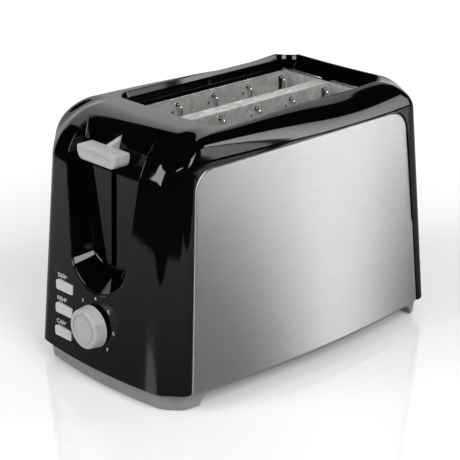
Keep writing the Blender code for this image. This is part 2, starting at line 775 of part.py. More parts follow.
def cut_control_holes(housing):
    for row, z in enumerate(BUTTON_HEIGHTS):
        half_y, half_z = BUTTON_WIDTH / 2 + CLEAR, BUTTON_HEIGHT / 2 + CLEAR
        hole_x = (-HALF_LENGTH - PAST, -HALF_LENGTH + 3 * PAST)
        hole_y = (BUTTON_Y - half_y, BUTTON_Y + half_y)
        cut(housing, helper(box(f"button_hole_{row}", hole_x, hole_y, (z - half_z, z + half_z))))
    place = (-HALF_LENGTH - PAST, 0, DIAL_Z)
    cut(housing, helper(cylinder("shaft_hole", place, SHAFT_RADIUS + SHAFT_GAP, 3 * PAST, "X")))


def cut_rear_holes(housing):
    half, top = PULL_HALF_WIDTH + CLEAR, PULL_TOP + CLEAR
    cut(housing, helper(box("tray_notch", (NOTCH_X, HALF_LENGTH + OUTSIDE), (-half, half), (0.0, top))))
    place = (HALF_LENGTH - 0.016, GLAND_Y, GLAND_Z)
    cut(housing, helper(cylinder("cord_hole", place, GLAND_RADIUS + CLEAR, 0.03, "X")))


# ---------------------------------------------------------------- outer pieces


def make_panels():
    for side, word in ((-1, "right"), (1, "left")):
        panel = plate(f"side_panel_{word}", panel_outline(0.0), *side_span(side, *PANEL_SPAN), "Y")
        combine(panel, helper(body_solid(f"panel_skin_{word}", 0.0)), "INTERSECT")
        cut(panel, helper(body_solid(f"panel_back_{word}", PANEL_SHEET)))
        part(panel, "brushed_steel")


def base_ring(inset, z):
    outline = around(lambda end: quarter_outline(HOUSING_FOOT, inset, end))
    return [(x, y, z) for x, y, _share in outline]


def underside_cutter():
    """The space between the feet, seen from the side, with a curve up from each foot."""
    front = -HALF_LENGTH + BASE_INSET + FOOT_LENGTH_FRONT
    rear = HALF_LENGTH - BASE_INSET - FOOT_LENGTH_REAR
    top = BASE_FLOOR_LOW
    outline = [(front, -PAST), (rear, -PAST)]
    outline += arc((rear - FOOT_CURVE, top - FOOT_CURVE), FOOT_CURVE, 0, 90, 4)
    outline += arc((front + FOOT_CURVE, top - FOOT_CURVE), FOOT_CURVE, 90, 180, 4)
    return plate("underside", outline, -BODY_CORNER_WIDTH, BODY_CORNER_WIDTH, "Y")


def make_base():
    low, top = PAD_STAND, HOUSING_FOOT - CLEAR
    base = loft("base", [base_ring(BASE_INSET + BASE_TAPER, low), base_ring(BASE_INSET, top)])
    rear_x = HALF_LENGTH + OUTSIDE
    cut(base, helper(underside_cutter()))
    rear_gap = ((REAR_GAP_X, rear_x), (-REAR_GAP_HALF, REAR_GAP_HALF), (-PAST, BASE_FLOOR_LOW))
    cut(base, helper(box("rear_gap", *rear_gap)))
    floor_rings = [base_ring(BASE_INSET + WALL, z) for z in (BASE_FLOOR_TOP, top + PAST)]
    floor = helper(loft("floor_pocket", floor_rings))
    front_y = (-FRONT_POCKET_HALF, FRONT_POCKET_HALF)
    front = helper(box("front_pocket", FRONT_POCKET_X, front_y, (FRONT_POCKET_LOW, top + PAST)))
    cut(base, floor, front)
    half = PULL_HALF_WIDTH + CLEAR
    cut(base, helper(box("tray_way", (HALF_LENGTH - 0.026, rear_x), (-half, half), (BASE_FLOOR_TOP, 0.02))))
    for corner, (x, y) in enumerate(BOSS_PLACES):
        seat_low = BASE_FLOOR_TOP - 0.0010
        join(base, helper(cylinder(f"base_seat_{corner}", (x, y, seat_low), BOSS_SEAT, top - seat_low)))
        cut(base, helper(cylinder(f"base_hole_{corner}", (x, y, 0.0), SCREW_RADIUS + CLEAR, 0.02)))
    for corner, (x, y) in enumerate(PAD_PLACES):
        depth = PAST + PAD_HEIGHT + CLEAR
        cut(base, helper(cylinder(f"pad_pocket_{corner}", (x, y, -PAST), PAD_RADIUS + CLEAR, depth)))
    cut(base, helper(cylinder("rod_hole", (ROD_X, 0, BASE_FLOOR_LOW + ROD_SEAT), ROD_RADIUS + CLEAR, 0.02)))
    return part(base, "grey_plastic")


def make_fasteners():
    for word, (x, y) in zip(CORNER_WORDS, PAD_PLACES):
        part(cylinder(f"foot_pad_{word}", (0, 0, 0), PAD_RADIUS, PAD_HEIGHT), "rubber").location = (x, y, 0)
    for word, (x, y) in zip(CORNER_WORDS, BOSS_PLACES):
        head_low = BASE_FLOOR_LOW - CLEAR - 0.0018
        screw = cylinder(f"base_screw_{word}", (0, 0, head_low), SCREW_HEAD, 0.0018, sides=12)
        shank_low = BASE_FLOOR_LOW - 0.001
        shank = helper(cylinder(f"shank_{word}", (0, 0, shank_low), SCREW_RADIUS, 0.0125, sides=12))
        shank.location = screw.location = (x, y, 0)
        part(join(screw, shank), "bright_steel")
    for number, (y, z) in enumerate(POST_PLACES, 1):
        back = BOARD_X + BOARD_THICK + CLEAR
        screw = cylinder(f"board_screw_{number}", (0, 0, 0), SCREW_HEAD, 0.0016, "X", 12)
        shank = helper(cylinder(f"board_shank_{number}", (-0.0085, 0, 0), SCREW_RADIUS, 0.0090, "X", 12))
        shank.location = screw.location = (back, y, z)
        part(join(screw, shank), "bright_steel")


# ---------------------------------------------------------------- controls


def make_knob():
    """Origin on the shaft's axis, at the knob's back. The ridge points between the fifth and sixth marks."""
    place = (KNOB_BACK, 0, DIAL_Z)
    front = -KNOB_HEIGHT
    knob = cylinder("knob", (front, 0, 0), KNOB_RADIUS - KNOB_TAPER, KNOB_HEIGHT, "X", 40, KNOB_RADIUS)
    ridge_z = (KNOB_RADIUS - 0.008, KNOB_RADIUS + CLEAR)
    ridge = helper(box("ridge", (front + 0.0002, -0.0015), (-POINTER_HALF, POINTER_HALF), ridge_z))
    ridge.rotation_euler.x = math.radians(POINTER_ANGLE)
    bore = helper(cylinder("knob_bore", (front + KNOB_SKIN, 0, 0), SHAFT_RADIUS + CLEAR, 0.012, "X", 16))
    dish_place = (front - 0.001, 0, 0)
    dish = helper(cylinder("knob_dish", dish_place, KNOB_RADIUS * DISH_SHARE, 0.001 + KNOB_DISH, "X", 32))
    for piece in (knob, ridge, bore, dish):
        piece.location = place
    cut(join(knob, ridge), bore, dish)
    part(knob, "light_grey_plastic")
    start = front + KNOB_SKIN + CLEAR
    reach = BOARD_X - CLEAR - POT_DEPTH - CLEAR - (KNOB_BACK + start)
    shaft = cylinder("knob_shaft", (start, 0, 0), SHAFT_RADIUS, reach, "X", 16)
    shaft.location = place
    part(shaft, "bright_steel")


def make_buttons():
    """Each cap's origin lies in the middle of its hole, on the line it slides along."""
    half_y, half_z = BUTTON_WIDTH / 2, BUTTON_HEIGHT / 2
    neck_y, neck_z = half_y - 0.001, half_z - 0.001
    flange_y, flange_z = half_y + FLANGE_LIP, half_z + FLANGE
    for name, z in zip(BUTTON_NAMES, BUTTON_HEIGHTS):
        face = front_x(BUTTON_Y, z)
        outline = rounded_rectangle((-half_y, -half_z), (half_y, half_z), BUTTON_ROUND)
        cap = plate(f"button_{name}", outline, -BUTTON_PROUD, BUTTON_DEPTH, "X")
        flange_x = (FLANGE_X, FLANGE_X + FLANGE)
        flange = helper(box(f"flange_{name}", flange_x, (-flange_y, flange_y), (-flange_z, flange_z)))
        neck_x = (BUTTON_DEPTH - 0.0005, FLANGE_X + 0.0004)
        neck = helper(box(f"neck_{name}", neck_x, (-neck_y, neck_y), (-neck_z, neck_z)))
        stem_end = BOARD_X - CLEAR - SWITCH_DEPTH - BUTTON_TRAVEL - 0.0005 - face
        stem = helper(box(f"stem_{name}", (FLANGE_X + 0.0004, stem_end), (-0.002, 0.002), (-0.0015, 0.0015)))
        for piece in (cap, flange, neck, stem):
            piece.location = (face, BUTTON_Y, z)
        part(join(cap, neck, flange, stem), "light_grey_plastic")


def make_control_board():
    board = box("control_board", (BOARD_X, BOARD_X + BOARD_THICK), BOARD_Y, BOARD_Z)
    for number, (y, z) in enumerate(POST_PLACES):
        place = (BOARD_X - PAST, y, z)
        cut(board, helper(cylinder(f"board_hole_{number}", place, SCREW_RADIUS + CLEAR, 3 * PAST, "X", 12)))
    part(board, "laminate")
    place = (BOARD_X - CLEAR - POT_DEPTH, 0, DIAL_Z)
    part(cylinder("potentiometer", place, POT_RADIUS, POT_DEPTH, "X"), "bright_steel")
    switch_x = (BOARD_X - CLEAR - SWITCH_DEPTH, BOARD_X - CLEAR)
    switch_y = (BUTTON_Y - SWITCH_HALF, BUTTON_Y + SWITCH_HALF)
    for name, z in zip(BUTTON_NAMES, BUTTON_HEIGHTS):
        part(box(f"switch_{name}", switch_x, switch_y, (z - SWITCH_HALF, z + SWITCH_HALF)), "dark_plastic")
    place = (BOARD_X + BOARD_THICK + CLEAR, *CAPACITOR_PLACE)
    part(cylinder("timer_capacitor", place, CAPACITOR_RADIUS, CAPACITOR_LENGTH, "X", 16), "dark_plastic")


# ---------------------------------------------------------------- toasting chamber


def make_top_plate():
    """The chamber's sheet cover: a raised pan in the housing's mouth, with a collar down into each slot."""
    pan_x = (SLOT_FRONT - SHEET, SLOT_REAR + SHEET)
    pan_y = SLOT_OUTER_Y + SHEET
    pan_top = DECK_TOP - PAN_DROP
    cover_x = (CHASSIS_FRONT - COVER_OVERHANG, CHASSIS_REAR + COVER_OVERHANG)
    cover = box("top_plate", cover_x, (-COVER_HALF_WIDTH, COVER_HALF_WIDTH), (COVER_HIGH - SHEET, COVER_HIGH))
    collar_low = DECK_TOP - COLLAR_DEPTH
    join(cover, helper(box("pan", pan_x, (-pan_y, pan_y), (collar_low, pan_top))))
    for side in (-1, 1):
        slot_y = side_span(side, SLOT_INNER_Y, SLOT_OUTER_Y)
        slot_z = (collar_low - PAST, DECK_TOP + PAST)
        cut(cover, helper(box(f"slot_{side}", (SLOT_FRONT, SLOT_REAR), slot_y, slot_z)))
    inner = SLOT_INNER_Y - SHEET
    hollow_x = (SLOT_FRONT + SHEET, SLOT_REAR - SHEET)
    cut(cover, helper(box("bridge_hollow", hollow_x, (-inner, inner), (collar_low - PAST, pan_top - SHEET))))
    for number, x in enumerate(GUARD_WIRES_X):
        last = number == GUARD_WIRES - 1
        half = WINDOW_HALF[last]
        low = collar_low - PAST if last else GUARD_BEND_Z - WINDOW_DROP
        window = ((x - half, x + half), (-pan_y - PAST, pan_y + PAST), (low, GUARD_BEND_Z + WINDOW_RISE))
        cut(cover, helper(box(f"wire_window_{number}", *window)))
    return part(cover, "galvanised")


def make_chassis_ends():
    """The two sheet walls that close the chamber. The front one also carries the guide rod and the spring."""
    foot = BASE_FLOOR_TOP + CLEAR
    for name, x in (("front_plate", CHASSIS_FRONT - SHEET), ("rear_plate", CHASSIS_REAR)):
        wall = box(name, (x, x + SHEET), (-CHASSIS_HALF_WIDTH, CHASSIS_HALF_WIDTH), (foot, WALLS_TOP))
        if name == "front_plate":
            tab_top = ROD_TOP - TAB_DROP
            tab_x = (ROD_X - TAB_REACH, x + SHEET / 2)
            tab = helper(box("spring_tab", tab_x, TAB_Y, (tab_top - SHEET, tab_top)))
            place = (ROD_X, 0, ROD_TOP - 0.01)
            cut(join(wall, tab), helper(cylinder("tab_hole", place, ROD_RADIUS + CLEAR, 0.02)))
        cut_chassis_gaps(wall, name, (x - PAST, x + SHEET + PAST))
        part(wall, "galvanised")


def cut_chassis_gaps(wall, name, span):
    """The gaps that the racks slide in, the guards' pivot holes and, at the rear, the crumb tray's door."""
    rack_z = (RACK_TOP - RACK_HEIGHT - LEVER_TRAVEL - 0.0006, RACK_TOP + 0.0006)
    half = RACK_THICK / 2 + RACK_GAP
    for side in (-1, 1):
        rack_y = side_span(side, SLOT_MIDDLE_Y - half, SLOT_MIDDLE_Y + half)
        cut(wall, helper(box(f"rack_gap_{name}_{side}", span, rack_y, rack_z)))
        for number, y in enumerate(GUARD_YS):
            place = (span[0], side * y, GUARD_PIVOT_Z)
            length = span[1] - span[0]
            hole_name = f"pivot_{name}_{side}_{number}"
            cut(wall, helper(cylinder(hole_name, place, PIVOT_RADIUS + CLEAR, length, "X", 12)))
    if name == "rear_plate":
        beside, above = TRAY_DOOR
        door_y = (-TRAY_HALF_WIDTH - beside, TRAY_HALF_WIDTH + beside)
        cut(wall, helper(box("tray_door", span, door_y, (0.0, TRAY_TOP + above))))


def make_heaters():
    ends = (CHASSIS_FRONT + CLEAR, CHASSIS_REAR - CLEAR)
    mica_z = (MICA_LOW, MICA_HIGH)
    for side, word in ((-1, "right"), (1, "left")):
        reflector_y = side_span(side, REFLECTOR_Y, REFLECTOR_Y + SHEET)
        part(box(f"reflector_{word}", ends, reflector_y, (BASE_FLOOR_TOP + CLEAR, WALLS_TOP)), "galvanised")
        board_y = side_span(side, BOARD_OUTER_Y, BOARD_OUTER_Y + MICA)
        part(box(f"mica_board_{word}", ends, board_y, mica_z), "mica")
        outer = side_span(side, BOARD_OUTER_Y - CLEAR - RIBBON, BOARD_OUTER_Y - CLEAR)
        part(plate(f"heater_ribbon_{word}", ribbon_outline(), *outer, "Y"), "nichrome")
        centre = side_span(side, MICA / 2 + CLEAR, MICA / 2 + CLEAR + RIBBON)
        part(plate(f"heater_ribbon_centre_{word}", ribbon_outline(), *centre, "Y"), "nichrome")
    part(box("mica_board_centre", ends, (-MICA / 2, MICA / 2), mica_z), "mica")


def ribbon_outline():
    """One continuous heating ribbon that goes to and fro along the board, as (x, z)."""
    first, last = SLOT_FRONT + RIBBON_MARGIN, SLOT_REAR - RIBBON_MARGIN
    half = RIBBON_WIDTH / 2
    pitch = (MICA_HIGH - MICA_LOW - 2 * RIBBON_MARGIN) / (RIBBON_ROWS - 1)
    heights = [MICA_LOW + RIBBON_MARGIN + pitch * row for row in range(RIBBON_ROWS)]
    outer = [(first, heights[0] - half)]
    inner = [(first, heights[0] + half)]
    for row in range(RIBBON_ROWS - 1):
        low, high = heights[row], heights[row + 1]
        if row % 2 == 0:
            outer += [(last + half, low - half), (last + half, high + half)]
            inner += [(last - half, low + half), (last - half, high - half)]
        else:
            outer += [(first + half, low + half), (first + half, high - half)]
            inner += [(first - half, low - half), (first - half, high + half)]
    end = heights[-1]
    outer.append((first, end + half))
    inner.append((first, end - half))
    return outer + inner[::-1]


def make_guards():
    """Wire guards that lean in to hold the bread. Each one's origin lies on its pivot wire."""
    for side, hand in ((-1, "right"), (1, "left")):
        for y, word, toward in ((GUARD_YS[0], "inner", -1), (GUARD_YS[1], "outer", 1)):
            guard = guard_wires(f"guard_{hand}_{word}", side * toward)
            for piece in [guard] + [m.object for m in guard.modifiers]:
                piece.location = (0, side * y, GUARD_PIVOT_Z)
            part(guard, "bright_steel")


def guard_wires(name, wall_way):
    """A guard: a pivot wire, two rails and the upright wires, with hooks that point at the slot's wall."""
    pivot_x = (CHASSIS_FRONT - SHEET - PIVOT_OVERHANG, CHASSIS_REAR + SHEET + PIVOT_OVERHANG)
    guard = wire(name, [(x, 0, 0) for x in pivot_x], PIVOT_RADIUS)
    rail_x = (GUARD_WIRES_X[0] - RAIL_OVERHANG, GUARD_WIRES_X[-1] + RAIL_OVERHANG)
    for rail, height in enumerate(RAIL_HEIGHTS):
        points = [(x, wall_way * RAIL_OFFSET, height) for x in rail_x]
        join(guard, helper(wire(f"{name}_rail_{rail}", points, RAIL_RADIUS)))
    bend = GUARD_BEND_Z - GUARD_PIVOT_Z
    hook = arc((0, bend - GUARD_BEND), GUARD_BEND, 0, 90, 3)
    reach = GUARD_OFFSET + SHEET + HOOK_REACH
    for number, x in enumerate(GUARD_WIRES_X):
        path = [(x, *PIVOT_NUDGE)] + [(x, wall_way * (GUARD_BEND - u), v) for u, v in hook]
        path.append((x, wall_way * reach, bend))
        join(guard, helper(wire(f"{name}_wire_{number}", path, WIRE_RADIUS)))
    return guard


# ---------------------------------------------------------------- carriage


def make_carriage():
    carriage = bpy.data.objects.new("carriage", None)
    carriage.parent = body
    pieces.objects.link(carriage)
    make_racks(carriage)
    make_bracket(carriage)
    make_armature(carriage)
    make_lever(carriage)


def make_racks(carriage):
    low = RACK_TOP - RACK_HEIGHT
    strip_x = (BRACKET_X - RACK_OVERHANG, CHASSIS_REAR + SHEET + RACK_OVERHANG)
    finger_z = (RACK_TOP - FINGER_DEPTH, RACK_TOP + FINGER_RISE)
    run = SLOT_REAR - SLOT_FRONT - 2 * FINGER_MARGIN
    for side, word in ((-1, "right"), (1, "left")):
        y = side * SLOT_MIDDLE_Y
        rack = box(f"bread_rack_{word}", strip_x, (y - RACK_THICK / 2, y + RACK_THICK / 2), (low, RACK_TOP))
        for finger in range(FINGERS):
            x = SLOT_FRONT + FINGER_MARGIN + run * finger / (FINGERS - 1)
            span = ((x - FINGER_HALF, x + FINGER_HALF), (y - RACK_REACH, y + RACK_REACH), finger_z)
            join(rack, helper(box(f"finger_{word}_{finger}", *span)))
        part(rack, "bright_steel", carriage)


LATCH_Z = ARMATURE_Z + ARMATURE_THICK + CLEAR


def make_bracket(carriage):
    plate_x = (BRACKET_X - SHEET, BRACKET_X + SHEET)
    plate_y = (-BRACKET_HALF_WIDTH, BRACKET_HALF_WIDTH)
    bracket = box("carriage_bracket", plate_x, plate_y, (BRACKET_LOW, BRACKET_HIGH))
    ear_x = (ROD_X - EAR_REACH, BRACKET_X)
    ears = ((BRACKET_LOW, EAR_HALF), (BRACKET_HIGH - 2 * SHEET, SPRING_Y + 0.006))
    for number, (z, y_high) in enumerate(ears):
        join(bracket, helper(box(f"ear_{number}", ear_x, (-EAR_HALF, y_high), (z, z + 2 * SHEET))))
    latch_x = (ARMATURE_X - ARMATURE_HALF, BRACKET_X)
    latch_y = (MAGNET_Y - 0.008, MAGNET_Y + 0.008)
    join(bracket, helper(box("latch_tab", latch_x, latch_y, (LATCH_Z, LATCH_Z + 2 * SHEET))))
    cut(bracket, helper(cylinder("ear_hole", (ROD_X, 0, BRACKET_LOW - 0.01), ROD_RADIUS + CLEAR, 0.06)))
    seat_x = (BRACKET_X - PAST, BRACKET_X + PAST)
    seat_z = (RACK_TOP - RACK_HEIGHT - CLEAR, RACK_TOP + CLEAR)
    half = RACK_THICK / 2 + CLEAR
    for side in (-1, 1):
        y = side * SLOT_MIDDLE_Y
        cut(bracket, helper(box(f"rack_seat_{side}", seat_x, (y - half, y + half), seat_z)))
    place = (ARMATURE_X, MAGNET_Y, LATCH_Z - PAST)
    cut(bracket, helper(cylinder("rivet_hole", place, RIVET_RADIUS + CLEAR, 4 * PAST, sides=16)))
    part(bracket, "galvanised", carriage)


def make_armature(carriage):
    """The magnet's armature, riveted under the bracket's latch tab."""
    top = ARMATURE_Z + ARMATURE_THICK
    armature_x = (ARMATURE_X - ARMATURE_HALF, ARMATURE_X + ARMATURE_HALF)
    armature_y = (MAGNET_Y - MAGNET_HALF_Y, MAGNET_Y + MAGNET_HALF_Y)
    armature = box("armature", armature_x, armature_y, (ARMATURE_Z, top))
    pin_low = ARMATURE_Z + 0.001
    pin_top = LATCH_Z + 2 * SHEET + CLEAR
    length = pin_top + 0.0005 - pin_low
    pin = helper(cylinder("rivet", (ARMATURE_X, MAGNET_Y, pin_low), RIVET_RADIUS, length, sides=16))
    head = helper(cylinder("rivet_head", (ARMATURE_X, MAGNET_Y, pin_top), 0.0026, RIVET_HEAD, sides=16))
    part(join(armature, pin, head), "bright_steel", carriage)


def handle_tongue_end():
    return channel_floor_x(LEVER_Z) + WALL + 0.0060


def make_lever(carriage):
    """The moulded handle with its tongue through the channel's slot, and the steel arm that it grips."""
    half, high = HANDLE_LENGTH / 2, HANDLE_HEIGHT / 2
    chin, cheek = HANDLE_CHIN
    right = [(half - chin, -high), (half, -high + cheek)]
    right += [(half, high - HANDLE_BROW), (half - HANDLE_BROW, high)]
    outline = right + [(-y, z) for y, z in right[::-1]]
    handle = plate("lever_handle", outline, HANDLE_FRONT, HANDLE_FRONT + HANDLE_DEPTH, "X")
    back = handle_tongue_end()
    root = HANDLE_FRONT + HANDLE_DEPTH - 0.002
    low_edge = [(root, TONGUE_LOW), (back, TONGUE_LOW)]
    wedge = low_edge + [(back, TONGUE_TOP), (root, high + 0.0010), (root, -0.0010)]
    tongue = helper(plate("tongue", wedge, -TONGUE_HALF, TONGUE_HALF, "Y"))
    groove_y = (-ARM_HALF - CLEAR, ARM_HALF + CLEAR)
    groove_z = (-ARM_HIGH - CLEAR, ARM_HIGH + CLEAR)
    groove = helper(box("groove", (back - ARM_GRIP - 0.0005, back + PAST), groove_y, groove_z))
    for piece in (handle, tongue, groove):
        piece.location = (0, 0, LEVER_Z)
    cut(join(handle, tongue), groove)
    part(handle, "light_grey_plastic", carriage)
    arm_x = ROD_X - EAR_REACH - CLEAR
    arm_low = BRACKET_LOW + 2 * SHEET + CLEAR
    arm_y = (-ARM_HALF, ARM_HALF)
    arm = box("lever_arm", (arm_x - ARM_WIDTH, arm_x), arm_y, (arm_low, LEVER_Z + ARM_HIGH))
    reach_x = (back - ARM_GRIP, arm_x - 0.0010)
    reach = helper(box("arm_reach", reach_x, arm_y, (LEVER_Z - ARM_HIGH, LEVER_Z + ARM_HIGH)))
    part(join(arm, reach), "bright_steel", carriage)


def make_carriage_drive():
    """What stays put around the carriage: guide rod, return spring, latch magnet and mains contacts."""
    rod_low = BASE_FLOOR_LOW + ROD_SEAT + CLEAR
    rod = part(cylinder("guide_rod", (0, 0, rod_low), ROD_RADIUS, ROD_TOP - rod_low), "bright_steel")
    rod.location = (ROD_X, 0, 0)
    low, high = BRACKET_HIGH + CLEAR, ROD_TOP - TAB_DROP - SHEET - CLEAR
    per_turn, coil = 8, []
    turns = SPRING_TURNS * per_turn
    span = high - low - 2 * SPRING_WIRE
    for i in range(turns + 1):
        angle = 2 * math.pi * i / per_turn
        x, y = SPRING_RADIUS * math.cos(angle), SPRING_RADIUS * math.sin(angle)
        coil.append((x, y, low + SPRING_WIRE + span * i / turns))
    part(wire("lift_spring", coil, SPRING_WIRE), "bright_steel").location = (ROD_X, SPRING_Y, 0)
    make_magnet()
    block = box("contact_block", CONTACT_X, CONTACT_Y, (BASE_FLOOR_TOP + CLEAR, CONTACT_TOP))
    gap_x = (CONTACT_X[0] + CONTACT_GAP_X, CONTACT_X[1] + PAST)
    for number, y in enumerate(CONTACT_GAPS):
        gap_z = (CONTACT_GAP_LOW, CONTACT_TOP + PAST)
        cut(block, helper(box(f"contact_gap_{number}", gap_x, (y, y + CONTACT_GAP), gap_z)))
    part(block, "dark_plastic")


def make_magnet():
    """The latch magnet: a three-legged core on the base, and the winding round its middle leg."""
    foot, top = BASE_FLOOR_TOP + CLEAR, ARMATURE_Z - LEVER_TRAVEL - CLEAR
    yoke_top = foot + MAGNET_YOKE
    core_x = (ARMATURE_X - MAGNET_HALF_X, ARMATURE_X + MAGNET_HALF_X)
    yoke_y = (MAGNET_Y - MAGNET_HALF_Y, MAGNET_Y + MAGNET_HALF_Y)
    core = box("magnet_core", core_x, yoke_y, (foot, yoke_top))
    for number, y in enumerate((-MAGNET_HALF_Y, -MAGNET_LEG / 2, MAGNET_HALF_Y - MAGNET_LEG)):
        leg_y = (MAGNET_Y + y, MAGNET_Y + y + MAGNET_LEG)
        join(core, helper(box(f"leg_{number}", core_x, leg_y, (yoke_top - 0.001, top))))
    part(core, "galvanised")
    coil_half, hole_half = MAGNET_HALF_Y - MAGNET_LEG - CLEAR, MAGNET_LEG / 2 + CLEAR
    coil_x = (core_x[0] - 0.003, core_x[1] + 0.003)
    coil_y = (MAGNET_Y - coil_half, MAGNET_Y + coil_half)
    winding = box("magnet_coil", coil_x, coil_y, (yoke_top + CLEAR, top - 0.0015))
    hole_x = (core_x[0] - CLEAR, core_x[1] + CLEAR)
    hole_y = (MAGNET_Y - hole_half, MAGNET_Y + hole_half)
    cut(winding, helper(box("coil_hole", hole_x, hole_y, (foot, top + PAST))))
    part(winding, "copper_winding")


# ---------------------------------------------------------------- crumb tray and cord gland


def make_tray():
    tray_y = (-TRAY_HALF_WIDTH, TRAY_HALF_WIDTH)
    tray = box("crumb_tray", (TRAY_FRONT, TRAY_REAR), tray_y, (TRAY_LOW, TRAY_TOP))
    inner = TRAY_HALF_WIDTH - SHEET
    hollow_x = (TRAY_FRONT + SHEET, TRAY_REAR - SHEET)
    cut(tray, helper(box("tray_hollow", hollow_x, (-inner, inner), (TRAY_LOW + SHEET, TRAY_TOP + PAST))))
    part(tray, "galvanised")
    pull_x = (TRAY_REAR + CLEAR, HALF_LENGTH + OUTSIDE)
    pull = box("tray_pull", pull_x, (-PULL_HALF_WIDTH, PULL_HALF_WIDTH), (TRAY_LOW, PULL_TOP))
    combine(pull, helper(body_solid("pull_skin", 0.0)), "INTERSECT")
    part(pull, "black_gloss")


def make_cord_gland():
    """The gland in the rear wall that a mains lead would leave through."""
    bow = END_BOW * (GLAND_Y / 0.057) ** 2
    inside = HALF_LENGTH - END_DRAFT * (GLAND_Z - HOUSING_FOOT) - bow - GLAND_INSIDE
    gland = cylinder("cord_gland", (inside, 0, 0), GLAND_RADIUS, GLAND_LENGTH, "X")
    flange = helper(cylinder("gland_flange", (inside, 0, 0), GLAND_RADIUS + GLAND_FLANGE, 0.0030, "X"))
    bore = helper(cylinder("gland_bore", (inside - 0.012, 0, 0), GLAND_BORE, 0.040, "X", 16))
    for piece in (gland, flange, bore):
        piece.location = (0, GLAND_Y, GLAND_Z)
    part(cut(join(gland, flange), bore), "rubber")


# ---------------------------------------------------------------- assembly


clear_scene()
pieces = new_collection("pop_up_toaster", True)
cutters = new_collection("cutters", False)
body = bpy.data.objects.new("body", None)
body.location = (BODY_X, 0, 0)
pieces.objects.link(body)

make_housing()
make_panels()
make_base()
make_fasteners()
make_knob()
make_buttons()
make_control_board()
make_top_plate()
make_chassis_ends()
make_heaters()
make_guards()
make_carriage()
make_carriage_drive()
make_tray()
make_cord_gland()
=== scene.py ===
"""Looks of a two-slot pop-up toaster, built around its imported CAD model.

The lever end faces -X, the long steel panels face -Y and +Y, and the toaster stands on z = 0.
Sizes are in metres.
"""

import math

import bmesh
import bpy
from bpy.props import FloatProperty, FloatVectorProperty, PointerProperty
from mathutils import Matrix, Vector
from mathutils.bvhtree import BVHTree


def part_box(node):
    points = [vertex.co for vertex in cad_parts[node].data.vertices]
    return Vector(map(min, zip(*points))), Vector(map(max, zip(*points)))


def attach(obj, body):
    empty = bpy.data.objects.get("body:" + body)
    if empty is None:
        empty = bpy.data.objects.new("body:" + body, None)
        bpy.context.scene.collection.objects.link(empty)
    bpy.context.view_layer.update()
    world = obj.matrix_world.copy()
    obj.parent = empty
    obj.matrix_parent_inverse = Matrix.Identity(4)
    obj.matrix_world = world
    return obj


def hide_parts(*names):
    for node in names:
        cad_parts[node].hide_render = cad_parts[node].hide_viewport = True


bl_info = {
    "name": "Pop-up toaster",
    "version": (1, 0, 0),
    "blender": (4, 5, 0),
    "location": "3D View > Sidebar > Toaster",
    "description": "Builds the finished pieces, materials and studio of a two-slot pop-up toaster",
    "category": "Object",
}

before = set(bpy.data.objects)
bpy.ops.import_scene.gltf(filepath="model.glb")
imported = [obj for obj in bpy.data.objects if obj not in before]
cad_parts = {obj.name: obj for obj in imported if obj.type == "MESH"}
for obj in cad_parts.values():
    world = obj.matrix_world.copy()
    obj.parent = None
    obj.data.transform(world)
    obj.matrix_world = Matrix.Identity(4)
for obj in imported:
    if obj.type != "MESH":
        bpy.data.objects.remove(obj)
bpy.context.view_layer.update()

# The body's outer form. Places in it are measured from the middle of the housing, BODY_X from the
# frame's origin.
BODY_LENGTH = 0.2520
BODY_CORNER_WIDTH = 0.137
BODY_HEIGHT = 0.1720
SIDE_BOW = 0.0095
END_BOW = 0.0044
CORNER_CUT_X = 0.0163
CORNER_CUT_Y = 0.0110
CORNER_ROUND = 0.0040
REAR_CORNER = 0.70
END_DRAFT = 0.073
SIDE_DRAFT = 0.035
HOUSING_FOOT = 0.0130
WALL = 0.0024
CORNER_EASE = 0.25
FRONT_SHOULDER = 0.036
SIDE_SHOULDER = 0.020
SIDE_REACH = 0.026
REAR_SHOULDER = 0.026
HALF_LENGTH = BODY_LENGTH / 2
HALF_WIDTH = BODY_CORNER_WIDTH / 2
BODY_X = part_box("housing")[0].x + HALF_LENGTH

# Recess in the top
RIM_FRONT = -0.0646
RIM_REAR = 0.0945
RIM_HALF_WIDTH = 0.0474
RIM_ROUND = 0.012
RECESS_DEPTH = 0.0092
RECESS_STEP = 0.0022
RECESS_DRAFT = 0.0008
DECK = 0.0018
DECK_TOP = BODY_HEIGHT - RECESS_DEPTH

# Bread slots and their sheet pan
SLOT_WIDTH = 0.0312
SLOT_BRIDGE = 0.0104
SLOT_FRONT = -0.0569
SLOT_REAR = 0.0834
SHEET = 0.0006
COLLAR_DEPTH = 0.0230
SLOT_INNER_Y = SLOT_BRIDGE / 2
SLOT_OUTER_Y = SLOT_INNER_Y + SLOT_WIDTH
GUARD_FIRST_X = -0.0518
GUARD_PITCH = 0.0323
GUARD_BEND_Z = 0.1586
GUARD_PIVOT_Z = 0.0300
GUARD_OFFSET = 0.0040
PRESSED_Z = 0.1542
PRESSED_AHEAD = 0.0045
PRESSED_HALF = 0.0022
PRESSED_RISE = 0.0003
PIERCED_HALF = 0.0009
RIM_WIRE = 0.0005

# Lever channel
CHANNEL_FLOOR_X = -0.1060
CHANNEL_LEAN = 0.031
CHANNEL_BEND_Z = 0.138
CHANNEL_BEND = 6.5
CHANNEL_FOOT = 0.064
CHANNEL_FLOOR_FOOT = 0.077
LEVER_SLOT = 0.0052
LEVER_Z = 0.1534
HANDLE_DEPTH = 0.0121
HANDLE_HEIGHT = 0.0092
HANDLE_CHIN = 0.0062
HANDLE_CHEEK = 0.0052
HANDLE_BROW = 0.0012
SCOOP_REACH = (0.0069, 0.0330, 0.0056)  # half sizes of the ball that hollows the grip

# Steel side panels
PANEL_FRONT = -0.1055
PANEL_REAR = 0.1070
PANEL_TOP = 0.1530
PANEL_ROUND = 0.014
PANEL_SHEET = 0.0008
PANEL_GAP = 0.0012

